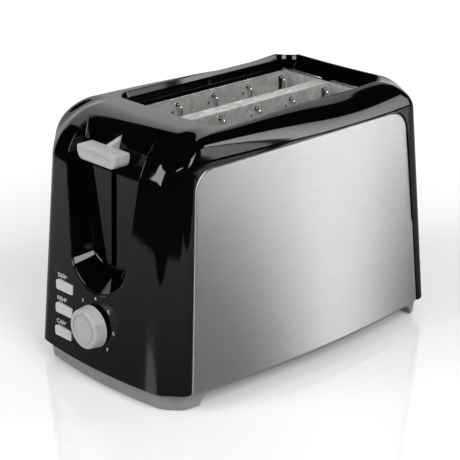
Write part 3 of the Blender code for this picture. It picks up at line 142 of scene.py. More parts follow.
# Dial and push buttons
DIAL_Z = 0.0424
KNOB_TAPER = 0.92
DIAL_NUMBERS = 7
DIAL_STEP = 45.0
POINTER_ANGLE = 68.0
BUTTON_Y = 0.0322
LABEL_WIDTH = 0.0160

# Base
BASE_INSET = 0.0040
PAD_STAND = 0.0008
BASE_FLOOR_LOW = 0.0090
BASE_FLOOR_TOP = 0.0115
FOOT_LENGTH_FRONT = 0.0270
FOOT_LENGTH_REAR = 0.0150
FOOT_CURVE = 0.0080

PAST = 0.004  # how far a cutting tool runs past what it cuts
CLEAR = 0.0003


class ToasterSizes(bpy.types.PropertyGroup):
    mouth_round: FloatProperty(
        name="Channel rounding", description="Radius along the mouth of the lever channel",
        default=0.0009, unit="LENGTH",
    )
    floor_round: FloatProperty(
        name="Channel floor rounding", description="Radius round the floor of the lever channel",
        default=0.0016, unit="LENGTH",
    )
    rim_edge: FloatProperty(
        name="Recess rounding", description="Radius along the rim of the recess in the top",
        default=0.0008, unit="LENGTH",
    )
    panel_edge: FloatProperty(
        name="Panel edge", description="Width of the turned edge around each steel side panel",
        default=0.0010, unit="LENGTH",
    )
    base_edge: FloatProperty(
        name="Base edge", description="Radius along the edges of the base",
        default=0.0008, unit="LENGTH",
    )
    number_height: FloatProperty(
        name="Number height", description="Height of the numbers round the dial",
        default=0.0044, unit="LENGTH",
    )
    number_radius: FloatProperty(
        name="Number radius", description="Distance of the numbers from the middle of the dial",
        default=0.0180, unit="LENGTH",
    )
    label_height: FloatProperty(
        name="Label height", description="Height of the words over the push buttons",
        default=0.0041, unit="LENGTH",
    )


class ToasterColours(bpy.types.PropertyGroup):
    gloss: FloatVectorProperty(
        name="Housing", description="Colour of the glossy moulded housing",
        default=(0.0014, 0.0014, 0.0015), subtype="COLOR", min=0.0, max=1.0,
    )
    steel: FloatVectorProperty(
        name="Side panels", description="Colour of the brushed steel side panels",
        default=(0.68, 0.68, 0.68), subtype="COLOR", min=0.0, max=1.0,
    )
    controls: FloatVectorProperty(
        name="Controls", description="Colour of the lever, the knob and the push buttons",
        default=(0.44, 0.44, 0.44), subtype="COLOR", min=0.0, max=1.0,
    )
    base: FloatVectorProperty(
        name="Base", description="Colour of the moulded base",
        default=(0.275, 0.275, 0.28), subtype="COLOR", min=0.0, max=1.0,
    )
    sheet: FloatVectorProperty(
        name="Inner sheet", description="Colour of the galvanised sheet inside the slots",
        default=(0.62, 0.61, 0.595), subtype="COLOR", min=0.0, max=1.0,
    )
    ink: FloatVectorProperty(
        name="Printing", description="Colour of the printed numbers and words",
        default=(0.60, 0.60, 0.60), subtype="COLOR", min=0.0, max=1.0,
    )


class ToasterStudio(bpy.types.PropertyGroup):
    lens: FloatProperty(
        name="Lens",
        description="Focal length of the camera in millimetres",
        default=126.13,
        min=10.0,
        max=500.0,
    )
    side_light: FloatProperty(
        name="Side light", description="Brightness of the softbox that the steel panel mirrors",
        default=6.0, min=0.0,
    )
    left_light: FloatProperty(
        name="Left light", description="Brightness of the softbox in front of the lever end",
        default=6.0, min=0.0,
    )
    high_light: FloatProperty(
        name="High light", description="Brightness of the high softbox over the near corner",
        default=7.0, min=0.0,
    )
    fill: FloatProperty(
        name="Fill", description="Brightness of the studio's even light on matt surfaces",
        default=0.30, min=0.0,
    )
    floor: FloatVectorProperty(
        name="Floor", description="Colour of the floor",
        default=(0.86, 0.86, 0.86), subtype="COLOR", min=0.0, max=1.0,
    )


# ---------------------------------------------------------------- modelling tools


def deselect():
    if bpy.context.mode != "OBJECT":
        bpy.ops.object.mode_set(mode="OBJECT")
    bpy.ops.object.select_all(action="DESELECT")


def activate(obj):
    deselect()
    obj.select_set(True)
    bpy.context.view_layer.objects.active = obj
    return obj


def named(name):
    obj = bpy.context.object
    obj.name = obj.data.name = name
    return obj


def settle(obj):
    """Puts an object's place, turn and size into its mesh."""
    activate(obj)
    bpy.ops.object.transform_apply(location=True, rotation=True, scale=True)
    return obj


def shift(obj, way):
    obj.data.transform(Matrix.Translation(way))
    return obj


def block(name, x, y, z):
    """A cuboid between two values on each axis."""
    deselect()
    spans = (x, y, z)
    bpy.ops.mesh.primitive_cube_add(
        size=1.0,
        location=[(low + high) / 2 for low, high in spans],
        scale=[high - low for low, high in spans],
    )
    return settle(named(name))


def drum(name, centre, radius, depth, axis="Z", sides=64):
    """A cylinder that runs from centre along an axis."""
    deselect()
    turn = {"X": (0, math.pi / 2, 0), "Y": (-math.pi / 2, 0, 0), "Z": (0, 0, 0)}[axis]
    way = {"X": Vector((1, 0, 0)), "Y": Vector((0, 1, 0)), "Z": Vector((0, 0, 1))}[axis]
    bpy.ops.mesh.primitive_cylinder_add(
        vertices=sides,
        radius=radius,
        depth=depth,
        location=Vector(centre) + way * depth / 2,
        rotation=turn,
    )
    return settle(named(name))


def edit(obj, kind, test):
    """Opens a mesh for editing with only the faces, edges or points selected that a test accepts."""
    activate(obj)
    bpy.ops.object.mode_set(mode="EDIT")
    bpy.ops.mesh.select_mode(type={"faces": "FACE", "edges": "EDGE", "verts": "VERT"}[kind])
    work = bmesh.from_edit_mesh(obj.data)
    for item in (*work.verts, *work.edges, *work.faces):
        item.select = False
    for item in getattr(work, kind):
        if test(item):
            item.select_set(True)
    work.select_flush_mode()
    bmesh.update_edit_mesh(obj.data)


def done():
    bpy.ops.object.mode_set(mode="OBJECT")


def middle(item):
    return sum((v.co for v in item.verts), Vector()) / len(item.verts)


def round_edges(obj, width, segments, test):
    edit(obj, "edges", test)
    bpy.ops.mesh.bevel(offset=width, offset_type="OFFSET", segments=segments, profile=0.5, affect="EDGES")
    done()
    return obj


def sharp(degrees):
    limit = math.radians(degrees)
    return lambda edge: len(edge.link_faces) == 2 and edge.calc_face_angle() > limit


def softened(name, x, y, z, width, segments):
    """A cuboid with its edges rounded."""
    return round_edges(block(name, x, y, z), width, segments, sharp(60))


def combine(obj, tool, operation="DIFFERENCE"):
    """One boolean step, applied at once. The tool is used up."""
    modifier = obj.modifiers.new("combine", "BOOLEAN")
    modifier.operation = operation
    modifier.solver = "MANIFOLD"
    modifier.object = tool
    activate(obj)
    bpy.ops.object.modifier_apply(modifier=modifier.name)
    bpy.data.objects.remove(tool)
    return obj


def cut(obj, *tools):
    for tool in tools:
        combine(obj, tool)
    return obj


def join(obj, *tools):
    for tool in tools:
        combine(obj, tool, "UNION")
    return obj


def loft(name, rings, banded=False):
    """A closed solid through rings of equally many points. A banded cap follows an end that curves."""
    work = bmesh.new()
    rows = [[work.verts.new(point) for point in ring] for ring in rings]
    count = len(rows[0])
    for row in (rows[0], rows[-1]):
        if not banded:
            work.faces.new(row)
            continue
        work.faces.new((row[0], row[1], row[-1]))
        for i in range(1, (count - 1) // 2):
            work.faces.new((row[i], row[i + 1], row[count - i - 1], row[count - i]))
    for low, high in zip(rows, rows[1:]):
        for i in range(count):
            j = (i + 1) % count
            work.faces.new((low[i], low[j], high[j], high[i]))
    bmesh.ops.recalc_face_normals(work, faces=work.faces)
    mesh = bpy.data.meshes.new(name)
    work.to_mesh(mesh)
    work.free()
    obj = bpy.data.objects.new(name, mesh)
    bpy.context.scene.collection.objects.link(obj)
    return obj


def plate(name, outline, low, high, axis):
    """A flat outline, given in the two other axes in order, as thick as from low to high along an axis."""
    order = {
        "X": lambda u, v, w: (w, u, v),
        "Y": lambda u, v, w: (u, w, v),
        "Z": lambda u, v, w: (u, v, w),
    }[axis]
    return loft(name, [[order(u, v, w) for u, v in outline] for w in (low, high)])


def drawn_wire(name, points, radius, smooth=False):
    """A round wire through points, as a mesh."""
    curve = bpy.data.curves.new(name, "CURVE")
    curve.dimensions = "3D"
    curve.bevel_depth = radius
    curve.bevel_resolution = 4
    curve.use_fill_caps = True
    spline = curve.splines.new("NURBS" if smooth else "POLY")
    spline.points.add(len(points) - 1)
    for point, place in zip(spline.points, points):
        point.co = (*place, 1)
    if smooth:
        spline.order_u = 3
        spline.use_endpoint_u = True
        spline.resolution_u = 6
    obj = bpy.data.objects.new(name, curve)
    bpy.context.scene.collection.objects.link(obj)
    activate(obj)
    bpy.ops.object.convert(target="MESH")
    edit(obj, "verts", lambda vert: True)
    bpy.ops.mesh.remove_doubles(threshold=0.00001)
    bpy.ops.mesh.normals_make_consistent(inside=False)
    done()
    return obj


def words(name, text, height, place, thick=0.00012):
    """Generic lettering as a thin raised print that faces the lever end. place is the foot of its middle."""
    deselect()
    bpy.ops.object.text_add()
    obj = named(name)
    obj.data.body = text
    obj.data.size = height
    obj.data.align_x = "CENTER"
    obj.data.extrude = thick / 2
    obj.data.offset = 0.00005
    obj.data.resolution_u = 3
    activate(obj)
    bpy.ops.object.convert(target="MESH")
    edit(obj, "verts", lambda vert: True)
    bpy.ops.mesh.remove_doubles(threshold=0.000002)
    bpy.ops.mesh.normals_make_consistent(inside=False)
    done()
    obj.data.transform(Matrix(((0, 0, -1, 0), (-1, 0, 0, 0), (0, 1, 0, 0), (0, 0, 0, 1))))
    return shift(obj, place)


def finish_piece(obj, material, body, replaced=(), smooth=30.0, weighted=True, at_body=True):
    """Shades a piece, gives it its finish and hangs it on its CAD body."""
    if at_body:
        shift(obj, (BODY_X, 0, 0))
    obj.data.materials.clear()
    obj.data.materials.append(material)
    activate(obj)
    bpy.ops.object.shade_smooth_by_angle(angle=math.radians(smooth))
    if weighted:
        modifier = obj.modifiers.new("even_normals", "WEIGHTED_NORMAL")
        modifier.keep_sharp = True
        modifier.weight = 60
        bpy.ops.object.modifier_apply(modifier=modifier.name)
    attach(obj, body)
    if replaced:
        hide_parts(*replaced)
    return obj


# ---------------------------------------------------------------- material tools


def add(tree, kind, **settings):
    """A shader node. Each setting is a property of the node."""
    made = tree.nodes.new(kind)
    for key, value in settings.items():
        setattr(made, key, value)
    return made


def put(node, **sockets):
    for label, value in sockets.items():
        node.inputs[label.replace("_", " ")].default_value = value
    return node


def new_group(name, inputs, outputs):
    tree = bpy.data.node_groups.new(name, "ShaderNodeTree")
    for label, kind, value in inputs:
        socket = tree.interface.new_socket(name=label, in_out="INPUT", socket_type=kind)
        if value is not None:
            socket.default_value = value
    for label, kind in outputs:
        tree.interface.new_socket(name=label, in_out="OUTPUT", socket_type=kind)
    return tree, tree.nodes.new("NodeGroupInput"), tree.nodes.new("NodeGroupOutput")


def maths(tree, operation, first, second=None, clamp=False):
    """A Math node; its inputs are sockets or numbers."""
    made = add(tree, "ShaderNodeMath", operation=operation, use_clamp=clamp)
    for socket, value in zip(made.inputs, (first, second)):
        if value is None:
            continue
        if isinstance(value, (int, float)):
            socket.default_value = value
        else:
            tree.links.new(value, socket)
    return made.outputs[0]


def remap(tree, value, from_low, from_high, to_low, to_high):
    made = add(tree, "ShaderNodeMapRange")
    tree.links.new(value, made.inputs["Value"])
    labels = ("From Min", "From Max", "To Min", "To Max")
    for label, number in zip(labels, (from_low, from_high, to_low, to_high)):
        if isinstance(number, (int, float)):
            made.inputs[label].default_value = number
        else:
            tree.links.new(number, made.inputs[label])
    return made.outputs["Result"]


def noise(tree, vector, scale, detail=3.0, rough=0.5):
    made = put(add(tree, "ShaderNodeTexNoise"), Scale=scale, Detail=detail, Roughness=rough)
    tree.links.new(vector, made.inputs["Vector"])
    return made.outputs["Fac"]


def stretched(tree, vector, scale):
    made = add(tree, "ShaderNodeMapping")
    made.inputs["Scale"].default_value = scale
    tree.links.new(vector, made.inputs["Vector"])
    return made.outputs["Vector"]


def mixed(tree, share, first, second):
    """A colour between two others. Each is a socket or a colour."""
    made = add(tree, "ShaderNodeMix", data_type="RGBA")
    tree.links.new(share, made.inputs["Factor"])
    for socket, value in ((made.inputs[6], first), (made.inputs[7], second)):
        if isinstance(value, (tuple, list)):
            socket.default_value = (*value[:3], 1.0)
        else:
            tree.links.new(value, socket)
    return made.outputs[2]


def moulded_group():
    """Fine surface of moulded plastic: a slow drift in tone, a grain and settled dust."""
    if "Moulded surface" in bpy.data.node_groups:
        return bpy.data.node_groups["Moulded surface"]
    tree, given, out = new_group(
        "Moulded surface",
        [("Grain scale", "NodeSocketFloat", 900.0), ("Dust", "NodeSocketFloat", 0.1)],
        [("Tone", "NodeSocketFloat"), ("Height", "NodeSocketFloat"), ("Dust mask", "NodeSocketFloat")],
    )
    where = add(tree, "ShaderNodeTexCoord").outputs["Object"]
    drift = noise(tree, where, 14.0, 2.0)
    tree.links.new(remap(tree, drift, 0.3, 0.7, 0.0, 1.0), out.inputs["Tone"])
    grain = put(add(tree, "ShaderNodeTexNoise"), Detail=3.0, Roughness=0.6)
    tree.links.new(where, grain.inputs["Vector"])
    tree.links.new(given.outputs["Grain scale"], grain.inputs["Scale"])
    tree.links.new(grain.outputs["Fac"], out.inputs["Height"])
    specks = add(tree, "ShaderNodeTexVoronoi", feature="F1")
    specks.inputs["Scale"].default_value = 320.0
    tree.links.new(where, specks.inputs["Vector"])
    dots = remap(tree, specks.outputs["Distance"], 0.05, 0.16, 1.0, 0.0)
    patches = remap(tree, noise(tree, where, 55.0, 4.0), 0.56, 0.75, 0.0, 1.0)
    turned = add(tree, "ShaderNodeSeparateXYZ")
    tree.links.new(add(tree, "ShaderNodeNewGeometry").outputs["Normal"], turned.inputs[0])
    upward = remap(tree, turned.outputs["Z"], 0.3, 1.0, 0.15, 1.0)
    dust = maths(tree, "MULTIPLY", maths(tree, "MULTIPLY", dots, patches), upward)
    tree.links.new(maths(tree, "MULTIPLY", dust, given.outputs["Dust"], clamp=True), out.inputs["Dust mask"])
    return tree


def brushed_group():
    """Fine scratches that all run along the object's length."""
    if "Brushed grain" in bpy.data.node_groups:
        return bpy.data.node_groups["Brushed grain"]
    tree, given, out = new_group(
        "Brushed grain",
        [("Stretch", "NodeSocketFloat", 0.02), ("Fineness", "NodeSocketFloat", 2600.0)],
        [("Tone", "NodeSocketFloat"), ("Height", "NodeSocketFloat"), ("Cloud", "NodeSocketFloat")],
    )
    where = add(tree, "ShaderNodeTexCoord").outputs["Object"]
    parts = add(tree, "ShaderNodeSeparateXYZ")
    tree.links.new(where, parts.inputs[0])
    join_up = add(tree, "ShaderNodeCombineXYZ")
    tree.links.new(maths(tree, "MULTIPLY", parts.outputs["X"], given.outputs["Stretch"]), join_up.inputs["X"])
    tree.links.new(maths(tree, "MULTIPLY", parts.outputs["Y"], 0.3), join_up.inputs["Y"])
    tree.links.new(parts.outputs["Z"], join_up.inputs["Z"])
    fine = put(add(tree, "ShaderNodeTexNoise"), Detail=4.0, Roughness=0.7)
    tree.links.new(join_up.outputs[0], fine.inputs["Vector"])
    tree.links.new(given.outputs["Fineness"], fine.inputs["Scale"])
    coarse = noise(tree, stretched(tree, join_up.outputs[0], (1.6, 1.0, 1.0)), 700.0, 3.0, 0.6)
    weights = (maths(tree, "MULTIPLY", fine.outputs["Fac"], 0.80), maths(tree, "MULTIPLY", coarse, 0.20))
    both = maths(tree, "ADD", *weights)
    tree.links.new(remap(tree, both, 0.36, 0.64, 0.0, 1.0), out.inputs["Tone"])
    tree.links.new(both, out.inputs["Height"])
    tree.links.new(remap(tree, noise(tree, where, 38.0, 3.0), 0.3, 0.7, 0.0, 1.0), out.inputs["Cloud"])
    return tree


def spangle_group():
    """Zinc spangle and stains of galvanised sheet."""
    if "Zinc spangle" in bpy.data.node_groups:
        return bpy.data.node_groups["Zinc spangle"]
    tree, given, out = new_group(
        "Zinc spangle",
        [("Flake scale", "NodeSocketFloat", 260.0)],
        [("Tone", "NodeSocketFloat"), ("Height", "NodeSocketFloat"), ("Stain", "NodeSocketFloat")],
    )
    where = add(tree, "ShaderNodeTexCoord").outputs["Object"]
    flakes = add(tree, "ShaderNodeTexVoronoi", feature="F1")
    tree.links.new(where, flakes.inputs["Vector"])
    tree.links.new(given.outputs["Flake scale"], flakes.inputs["Scale"])
    flake_tone = add(tree, "ShaderNodeSeparateColor")
    tree.links.new(flakes.outputs["Color"], flake_tone.inputs[0])
    clouds = noise(tree, where, 120.0, 5.0, 0.65)
    weights = (maths(tree, "MULTIPLY", flake_tone.outputs[0], 0.35), maths(tree, "MULTIPLY", clouds, 0.65))
    tone = maths(tree, "ADD", *weights)
    tree.links.new(remap(tree, tone, 0.25, 0.75, 0.0, 1.0), out.inputs["Tone"])
    tree.links.new(noise(tree, where, 420.0, 4.0, 0.7), out.inputs["Height"])
    tree.links.new(remap(tree, noise(tree, where, 48.0, 4.0, 0.7), 0.52, 0.72, 0.0, 1.0), out.inputs["Stain"])
    return tree


def new_material(name, metallic=0.0, specular=0.5, coat=0.0, coat_rough=0.03, anisotropic=0.0):
    made = bpy.data.materials.new(name)
    made.use_nodes = True
    tree = made.node_tree
    shader = tree.nodes["Principled BSDF"]
    shader.inputs["Metallic"].default_value = metallic
    shader.inputs["Specular IOR Level"].default_value = specular
    shader.inputs["Coat Weight"].default_value = coat
    shader.inputs["Coat Roughness"].default_value = coat_rough
    shader.inputs["Anisotropic"].default_value = anisotropic
    return made, tree, shader


def raise_bump(tree, shader, height, strength, distance):
    bump = put(add(tree, "ShaderNodeBump"), Strength=strength, Distance=distance)
    tree.links.new(height, bump.inputs["Height"])
    tree.links.new(bump.outputs["Normal"], shader.inputs["Normal"])


def use_group(tree, group, **values):
    made = tree.nodes.new("ShaderNodeGroup")
    made.node_tree = group
    return put(made, **values)


def shade(colour, factor):
    return tuple(min(1.0, c * factor) for c in colour[:3])


def moulded(name, colour, rough, grain=900.0, bump=0.05, dust=0.1, spread=0.08, specular=0.5):
    """Moulded plastic in one colour."""
    if name in bpy.data.materials:
        return bpy.data.materials[name]
    made, tree, shader = new_material(name, specular=specular)
    surface = use_group(tree, moulded_group(), Grain_scale=grain, Dust=dust)
    base = mixed(tree, surface.outputs["Tone"], shade(colour, 1 - spread), shade(colour, 1 + spread))
    dusty = mixed(tree, surface.outputs["Dust mask"], base, (0.45, 0.44, 0.42))
    tree.links.new(dusty, shader.inputs["Base Color"])
    roughness = remap(tree, surface.outputs["Tone"], 0.0, 1.0, rough * 0.88, rough * 1.12)
    dulled = maths(tree, "MULTIPLY", surface.outputs["Dust mask"], 0.5)
    both = maths(tree, "ADD", roughness, dulled, clamp=True)
    tree.links.new(both, shader.inputs["Roughness"])
    raise_bump(tree, shader, surface.outputs["Height"], bump, 0.0002)
    return made


def gloss_black():
    colour = bpy.context.scene.toaster_colours.gloss
    return moulded("Gloss black moulding", colour, 0.045, 60.0, 0.010, 0.10, 0.10)


def controls_grey():
    colour = bpy.context.scene.toaster_colours.controls
    return moulded("Light grey moulding", colour, 0.34, 1400.0, 0.10, 0.05, 0.04)


def button_grey():
    colour = shade(bpy.context.scene.toaster_colours.controls, 1.3)
    return moulded("Pale button moulding", colour, 0.34, 1400.0, 0.10, 0.05, 0.04)


def base_grey():
    colour = bpy.context.scene.toaster_colours.base
    return moulded("Grey base moulding", colour, 0.42, 1500.0, 0.16, 0.12, 0.05)


def printed_grey():
    colour = bpy.context.scene.toaster_colours.ink
    return moulded("Printed ink", colour, 0.55, 2400.0, 0.05, 0.0, 0.10)


def brushed_steel():
    if "Brushed steel" in bpy.data.materials:
        return bpy.data.materials["Brushed steel"]
    colour = bpy.context.scene.toaster_colours.steel
    made, tree, shader = new_material(
        "Brushed steel", metallic=1.0, coat=0.3, coat_rough=0.08, anisotropic=0.85
    )
    grain = use_group(tree, brushed_group(), Stretch=0.022, Fineness=2600.0)
    streaks = mixed(tree, grain.outputs["Tone"], shade(colour, 0.90), shade(colour, 1.08))
    drift = mixed(tree, grain.outputs["Cloud"], shade(colour, 0.97), shade(colour, 1.03))
    blend = add(tree, "ShaderNodeMix", data_type="RGBA")
    blend.inputs["Factor"].default_value = 0.3
    tree.links.new(streaks, blend.inputs[6])
    tree.links.new(drift, blend.inputs[7])
    tree.links.new(blend.outputs[2], shader.inputs["Base Color"])
    tree.links.new(remap(tree, grain.outputs["Tone"], 0.0, 1.0, 0.40, 0.46), shader.inputs["Roughness"])
    raise_bump(tree, shader, grain.outputs["Height"], 0.06, 0.00004)
    along = add(tree, "ShaderNodeCombineXYZ")
    along.inputs["Z"].default_value = 1.0
    tree.links.new(along.outputs[0], shader.inputs["Tangent"])
    return made


def metal(name, colour, rough, flake=260.0, stain=0.35, bump=0.12, metallic=1.0):
    """Plain sheet or wire with zinc flakes and stains."""
    if name in bpy.data.materials:
        return bpy.data.materials[name]
    made, tree, shader = new_material(name, metallic=metallic)
    zinc = use_group(tree, spangle_group(), Flake_scale=flake)
    tone = mixed(tree, zinc.outputs["Tone"], shade(colour, 0.74), shade(colour, 1.18))
    mask = maths(tree, "MULTIPLY", zinc.outputs["Stain"], stain)
    stained = mixed(tree, mask, tone, shade((0.42, 0.38, 0.33), colour[0] * 1.2))
    tree.links.new(stained, shader.inputs["Base Color"])
    roughness = remap(tree, zinc.outputs["Tone"], 0.0, 1.0, rough * 1.2, rough * 0.8)
    tree.links.new(roughness, shader.inputs["Roughness"])
    raise_bump(tree, shader, zinc.outputs["Height"], bump, 0.0002)
    return made


def galvanised():
    return metal("Galvanised sheet", bpy.context.scene.toaster_colours.sheet, 0.42, metallic=0.55)


def bright_wire():
    return metal("Bright wire", (0.66, 0.65, 0.63), 0.24, 900.0, 0.25, 0.05)


# ---------------------------------------------------------------- the body's outer form


END_STEPS, SIDE_STEPS, CORNER_STEPS, CHAMFER_STEPS = 18, 26, 6, 8


def eased(share):
    """0 to 1 with level ends."""
    return share * share * (3 - 2 * share)


def arc(centre, radius, start, end, steps):
    """Points along a circular arc in a plane, angles in degrees."""
    angles = [math.radians(start + (end - start) * i / steps) for i in range(steps + 1)]
    return [(centre[0] + radius * math.cos(a), centre[1] + radius * math.sin(a)) for a in angles]


def rounded_rectangle(low, high, radius, steps=8):
    (u0, v0), (u1, v1) = low, high
    corners = (
        (u1 - radius, v0 + radius, -90),
        (u1 - radius, v1 - radius, 0),
        (u0 + radius, v1 - radius, 90),
        (u0 + radius, v0 + radius, 180),
    )
    return [p for u, v, start in corners for p in arc((u, v), radius, start, start + 90, steps)]


def rounded_corner(before, corner, after, radius):
    """Points that round a corner off, from radius before it to radius past it."""
    start = corner + (before - corner).normalized() * radius
    end = corner + (after - corner).normalized() * radius
    shares = [i / CORNER_STEPS for i in range(CORNER_STEPS + 1)]
    return [start * (1 - t) ** 2 + corner * (2 * t * (1 - t)) + end * t**2 for t in shares]


def quarter_outline(z, inset, end):
    """Half an end and half a side of the plan outline at height z, as (x, y, share) with y negative.

    end is -1 for the lever end and 1 for the rear. share is 0 along the end, 1 along the side.
    """
    rise = z - HOUSING_FOOT
    fade = max(0.0, 1 - rise / (PANEL_TOP - HOUSING_FOOT))
    half_length = HALF_LENGTH - END_DRAFT * rise - inset
    half_width = HALF_WIDTH - SIDE_DRAFT * rise - inset
    share = REAR_CORNER if end > 0 else 1.0
    end_half = half_width - CORNER_CUT_Y * share + inset * 0.4
    side_half = half_length - CORNER_CUT_X * share + inset * 0.4

    def end_point(y):
        return Vector((half_length - END_BOW * (y / end_half) ** 2, -y))

    def side_point(x):
        return Vector((x, -half_width - SIDE_BOW * fade * (1 - (x / half_length) ** 2)))

    first, second = end_point(end_half), side_point(side_half)
    radius = min(CORNER_ROUND, 0.42 * (second - first).length)
    across = [end_point((end_half - radius) * i / END_STEPS) for i in range(END_STEPS)]
    along = [side_point((side_half - radius) * (1 - i / SIDE_STEPS)) for i in range(1, SIDE_STEPS + 1)]
    bends = rounded_corner(end_point(end_half - radius), first, second, radius)
    leaving = rounded_corner(first, second, side_point(side_half - radius), radius)
    bends += [bends[-1].lerp(leaving[0], i / CHAMFER_STEPS) for i in range(1, CHAMFER_STEPS)] + leaving
    lengths = [(b - a).length for a, b in zip(bends, bends[1:])]
    shares = [sum(lengths[:i]) / sum(lengths) for i in range(len(bends))]
    points = [(p, 0.0) for p in across] + list(zip(bends, shares)) + [(p, 1.0) for p in along]
    return [(end * p.x, p.y, share) for p, share in points]


def rim_quarter(end, inset):
    """The rim point that each point of quarter_outline climbs to."""
    edge = (RIM_REAR if end > 0 else -RIM_FRONT) - inset
    half = RIM_HALF_WIDTH - inset
    midway = end * (RIM_FRONT + RIM_REAR) / 2
    reach = half - RIM_ROUND
    across = [(edge, -reach * i / END_STEPS) for i in range(END_STEPS)]
    bend = arc((edge - RIM_ROUND, -reach), RIM_ROUND, 0, -90, 2 * CORNER_STEPS + CHAMFER_STEPS)
    start = edge - RIM_ROUND
    along = [(start + (midway - start) * i / SIDE_STEPS, -half) for i in range(1, SIDE_STEPS + 1)]
    return [(end * x, y) for x, y in across + bend + along]


def around(quarter_of):
    """A whole outline from its four quarters, counter-clockwise from the front's middle."""
    near_front, near_rear = quarter_of(-1), quarter_of(1)
    near = near_front + near_rear[::-1][1:]
    far = [(x, -y, *rest) for x, y, *rest in near[1:-1]]
    return near + far[::-1]


def body_rings(inset, low, rise_steps=9, shoulder_steps=18):
    """Rings from the lower edge up the drafted walls and over the shoulders to the rim of the recess."""
    top = BODY_HEIGHT - inset
    foot = around(lambda end: [(*p, end) for p in quarter_outline(HOUSING_FOOT, inset, end)])
    rim = around(lambda end: rim_quarter(end, inset * 0.5))
    shoulders, reaches = [], []
    for _x, _y, share, end in foot:
        across = FRONT_SHOULDER if end < 0 else REAR_SHOULDER
        shoulders.append(across + (SIDE_SHOULDER - across) * eased(share))
        bulge = 1 + CORNER_EASE * 4 * share * (1 - share)
        reaches.append((across + (SIDE_REACH - across) * eased(share)) * bulge)

    def wall_ring(level):
        """level 0 is the lower edge, 1 the foot of the shoulder. The heights differ from point to point."""
        ring = []
        for i, drop in enumerate(shoulders):
            z = low + (top - drop - low) * level
            at = around(lambda end, z=z: quarter_outline(z, inset, end))[i]
            ring.append((at[0], at[1], z))
        return ring

    rings = [wall_ring(i / rise_steps) for i in range(rise_steps + 1)]
    eave = rings[-1]
    for k in range(1, shoulder_steps + 1):
        ring = []
        for (x, y, z), (rim_x, rim_y), drop, reach in zip(eave, rim, shoulders, reaches):
            way = Vector((rim_x - x, rim_y - y))
            last = math.acos(max(0.0, 1 - (way.length - 0.0005) / reach))
            angle = last * k / shoulder_steps
            step = way.normalized() * reach * (1 - math.cos(angle))
            ring.append((x + step.x, y + step.y, z + drop * math.sin(angle)))
        rings.append(ring)
    rings.append([(x, y, z) for (x, y), (_x, _y, z) in zip(rim, rings[-1])])
    return rings


def body_solid(name, inset):
    """The body's form, shrunk by inset and run on below its lower edge."""
    return loft(name, body_rings(inset, HOUSING_FOOT - PAST))


def front_x(y, z):
    """Where the lever end's face stands, below its shoulder."""
    half = HALF_WIDTH - SIDE_DRAFT * (z - HOUSING_FOOT) - CORNER_CUT_Y
    return -(HALF_LENGTH - END_DRAFT * (z - HOUSING_FOOT) - END_BOW * (y / half) ** 2)


# ---------------------------------------------------------------- housing


def channel_ring(x_of, spread, foot, bend, high, steps=20):
    """The lever channel's outline at one depth: straight drafted flanks down to a rounded foot."""
    wide, narrow = spread
    left = []
    for i in range(steps + 1):
        angle = math.pi / 2 * i / steps
        left.append((narrow * math.sin(angle), bend - (bend - foot) * math.cos(angle)))
    for i in range(1, 33):
        t = i / 32
        left.append((narrow + (wide - narrow) * t, bend + (high - bend) * t))
    outline = left + [(-y, z) for y, z in left[:0:-1]]
    return [(x_of(z), y, z) for y, z in outline]


def channel_floor_x(z):
    bend = CHANNEL_BEND * max(0.0, z - CHANNEL_BEND_Z) ** 2
    return CHANNEL_FLOOR_X + CHANNEL_LEAN * (z - CHANNEL_FLOOR_FOOT) + bend


def channel_block(name, grow):
    """The space of the lever channel, or that space grown by a wall."""
    high = BODY_HEIGHT + PAST

    def place(way):
        return lambda z: front_x(0, z) - way

    spread = (0.0440 + grow, 0.0290 + grow)
    outer = channel_ring(place(0.012), spread, CHANNEL_FOOT - 0.006 - grow, 0.086, high)
    mouth = channel_ring(place(0.0002), (0.0400 + grow, 0.0268 + grow), CHANNEL_FOOT - grow, 0.086, high)
    spread = (0.0335 + grow, 0.0205 + grow)
    floor = channel_ring(lambda z: channel_floor_x(z) + grow, spread, CHANNEL_FLOOR_FOOT - grow, 0.086, high)
    return loft(name, [outer, mouth, floor], banded=True)


def rolled_channel(name, skin, roll, fillet, steps=5):
    """The lever channel's space with a rolled lip where it meets the skin and a fillet round its floor.

    skin is a tree of the body's outer faces.
    """
    high = BODY_HEIGHT + PAST
    mouth = channel_ring(lambda z: front_x(0, z) - 0.0002, (0.0400, 0.0268), CHANNEL_FOOT, 0.086, high)
    floor = channel_ring(channel_floor_x, (0.0335, 0.0205), CHANNEL_FLOOR_FOOT, 0.086, high)
    rings = [[] for _ in range(2 * steps + 3)]
    turns = [math.pi / 2 * i / steps for i in range(steps + 1)]
    for i, (low, top) in enumerate(zip(floor, mouth)):
        low, top = Vector(low), Vector(top)
        out = (top - low).normalized()
        before, after = Vector(mouth[i - 1]), Vector(mouth[(i + 1) % len(mouth)])
        if abs(top.y) > 0.039:
            before, after = Vector((0, 0, 0)), Vector((0, 0, 1))
        side = Vector((0, (after - before).z, -(after - before).y))
        side -= out * side.dot(out)
        side.normalize()
        if side.dot(top - Vector((top.x, 0, 0.12))) < 0:
            side.negate()
        met = skin.ray_cast(low, out)[0] if low.z < BODY_HEIGHT - 0.001 else None
        depth = (met - low).length if met else 0.0
        lip = max(min(roll, depth * 0.4), 0.00002)
        edge = low + out * max(depth, 0.00005)
        bend = max(min(fillet, depth * 0.4), 0.00002)
        rings[0].append(edge + side * lip + out * 0.012)
        for k, turn in enumerate(reversed(turns)):
            rings[1 + k].append(edge + out * lip * (math.sin(turn) - 1) + side * lip * (1 - math.cos(turn)))
        for k, turn in enumerate(turns):
            inset = side * bend * (1 - math.cos(turn))
            rings[2 + steps + k].append(low + out * bend * (1 - math.sin(turn)) - inset)
    return loft(name, rings, banded=True)


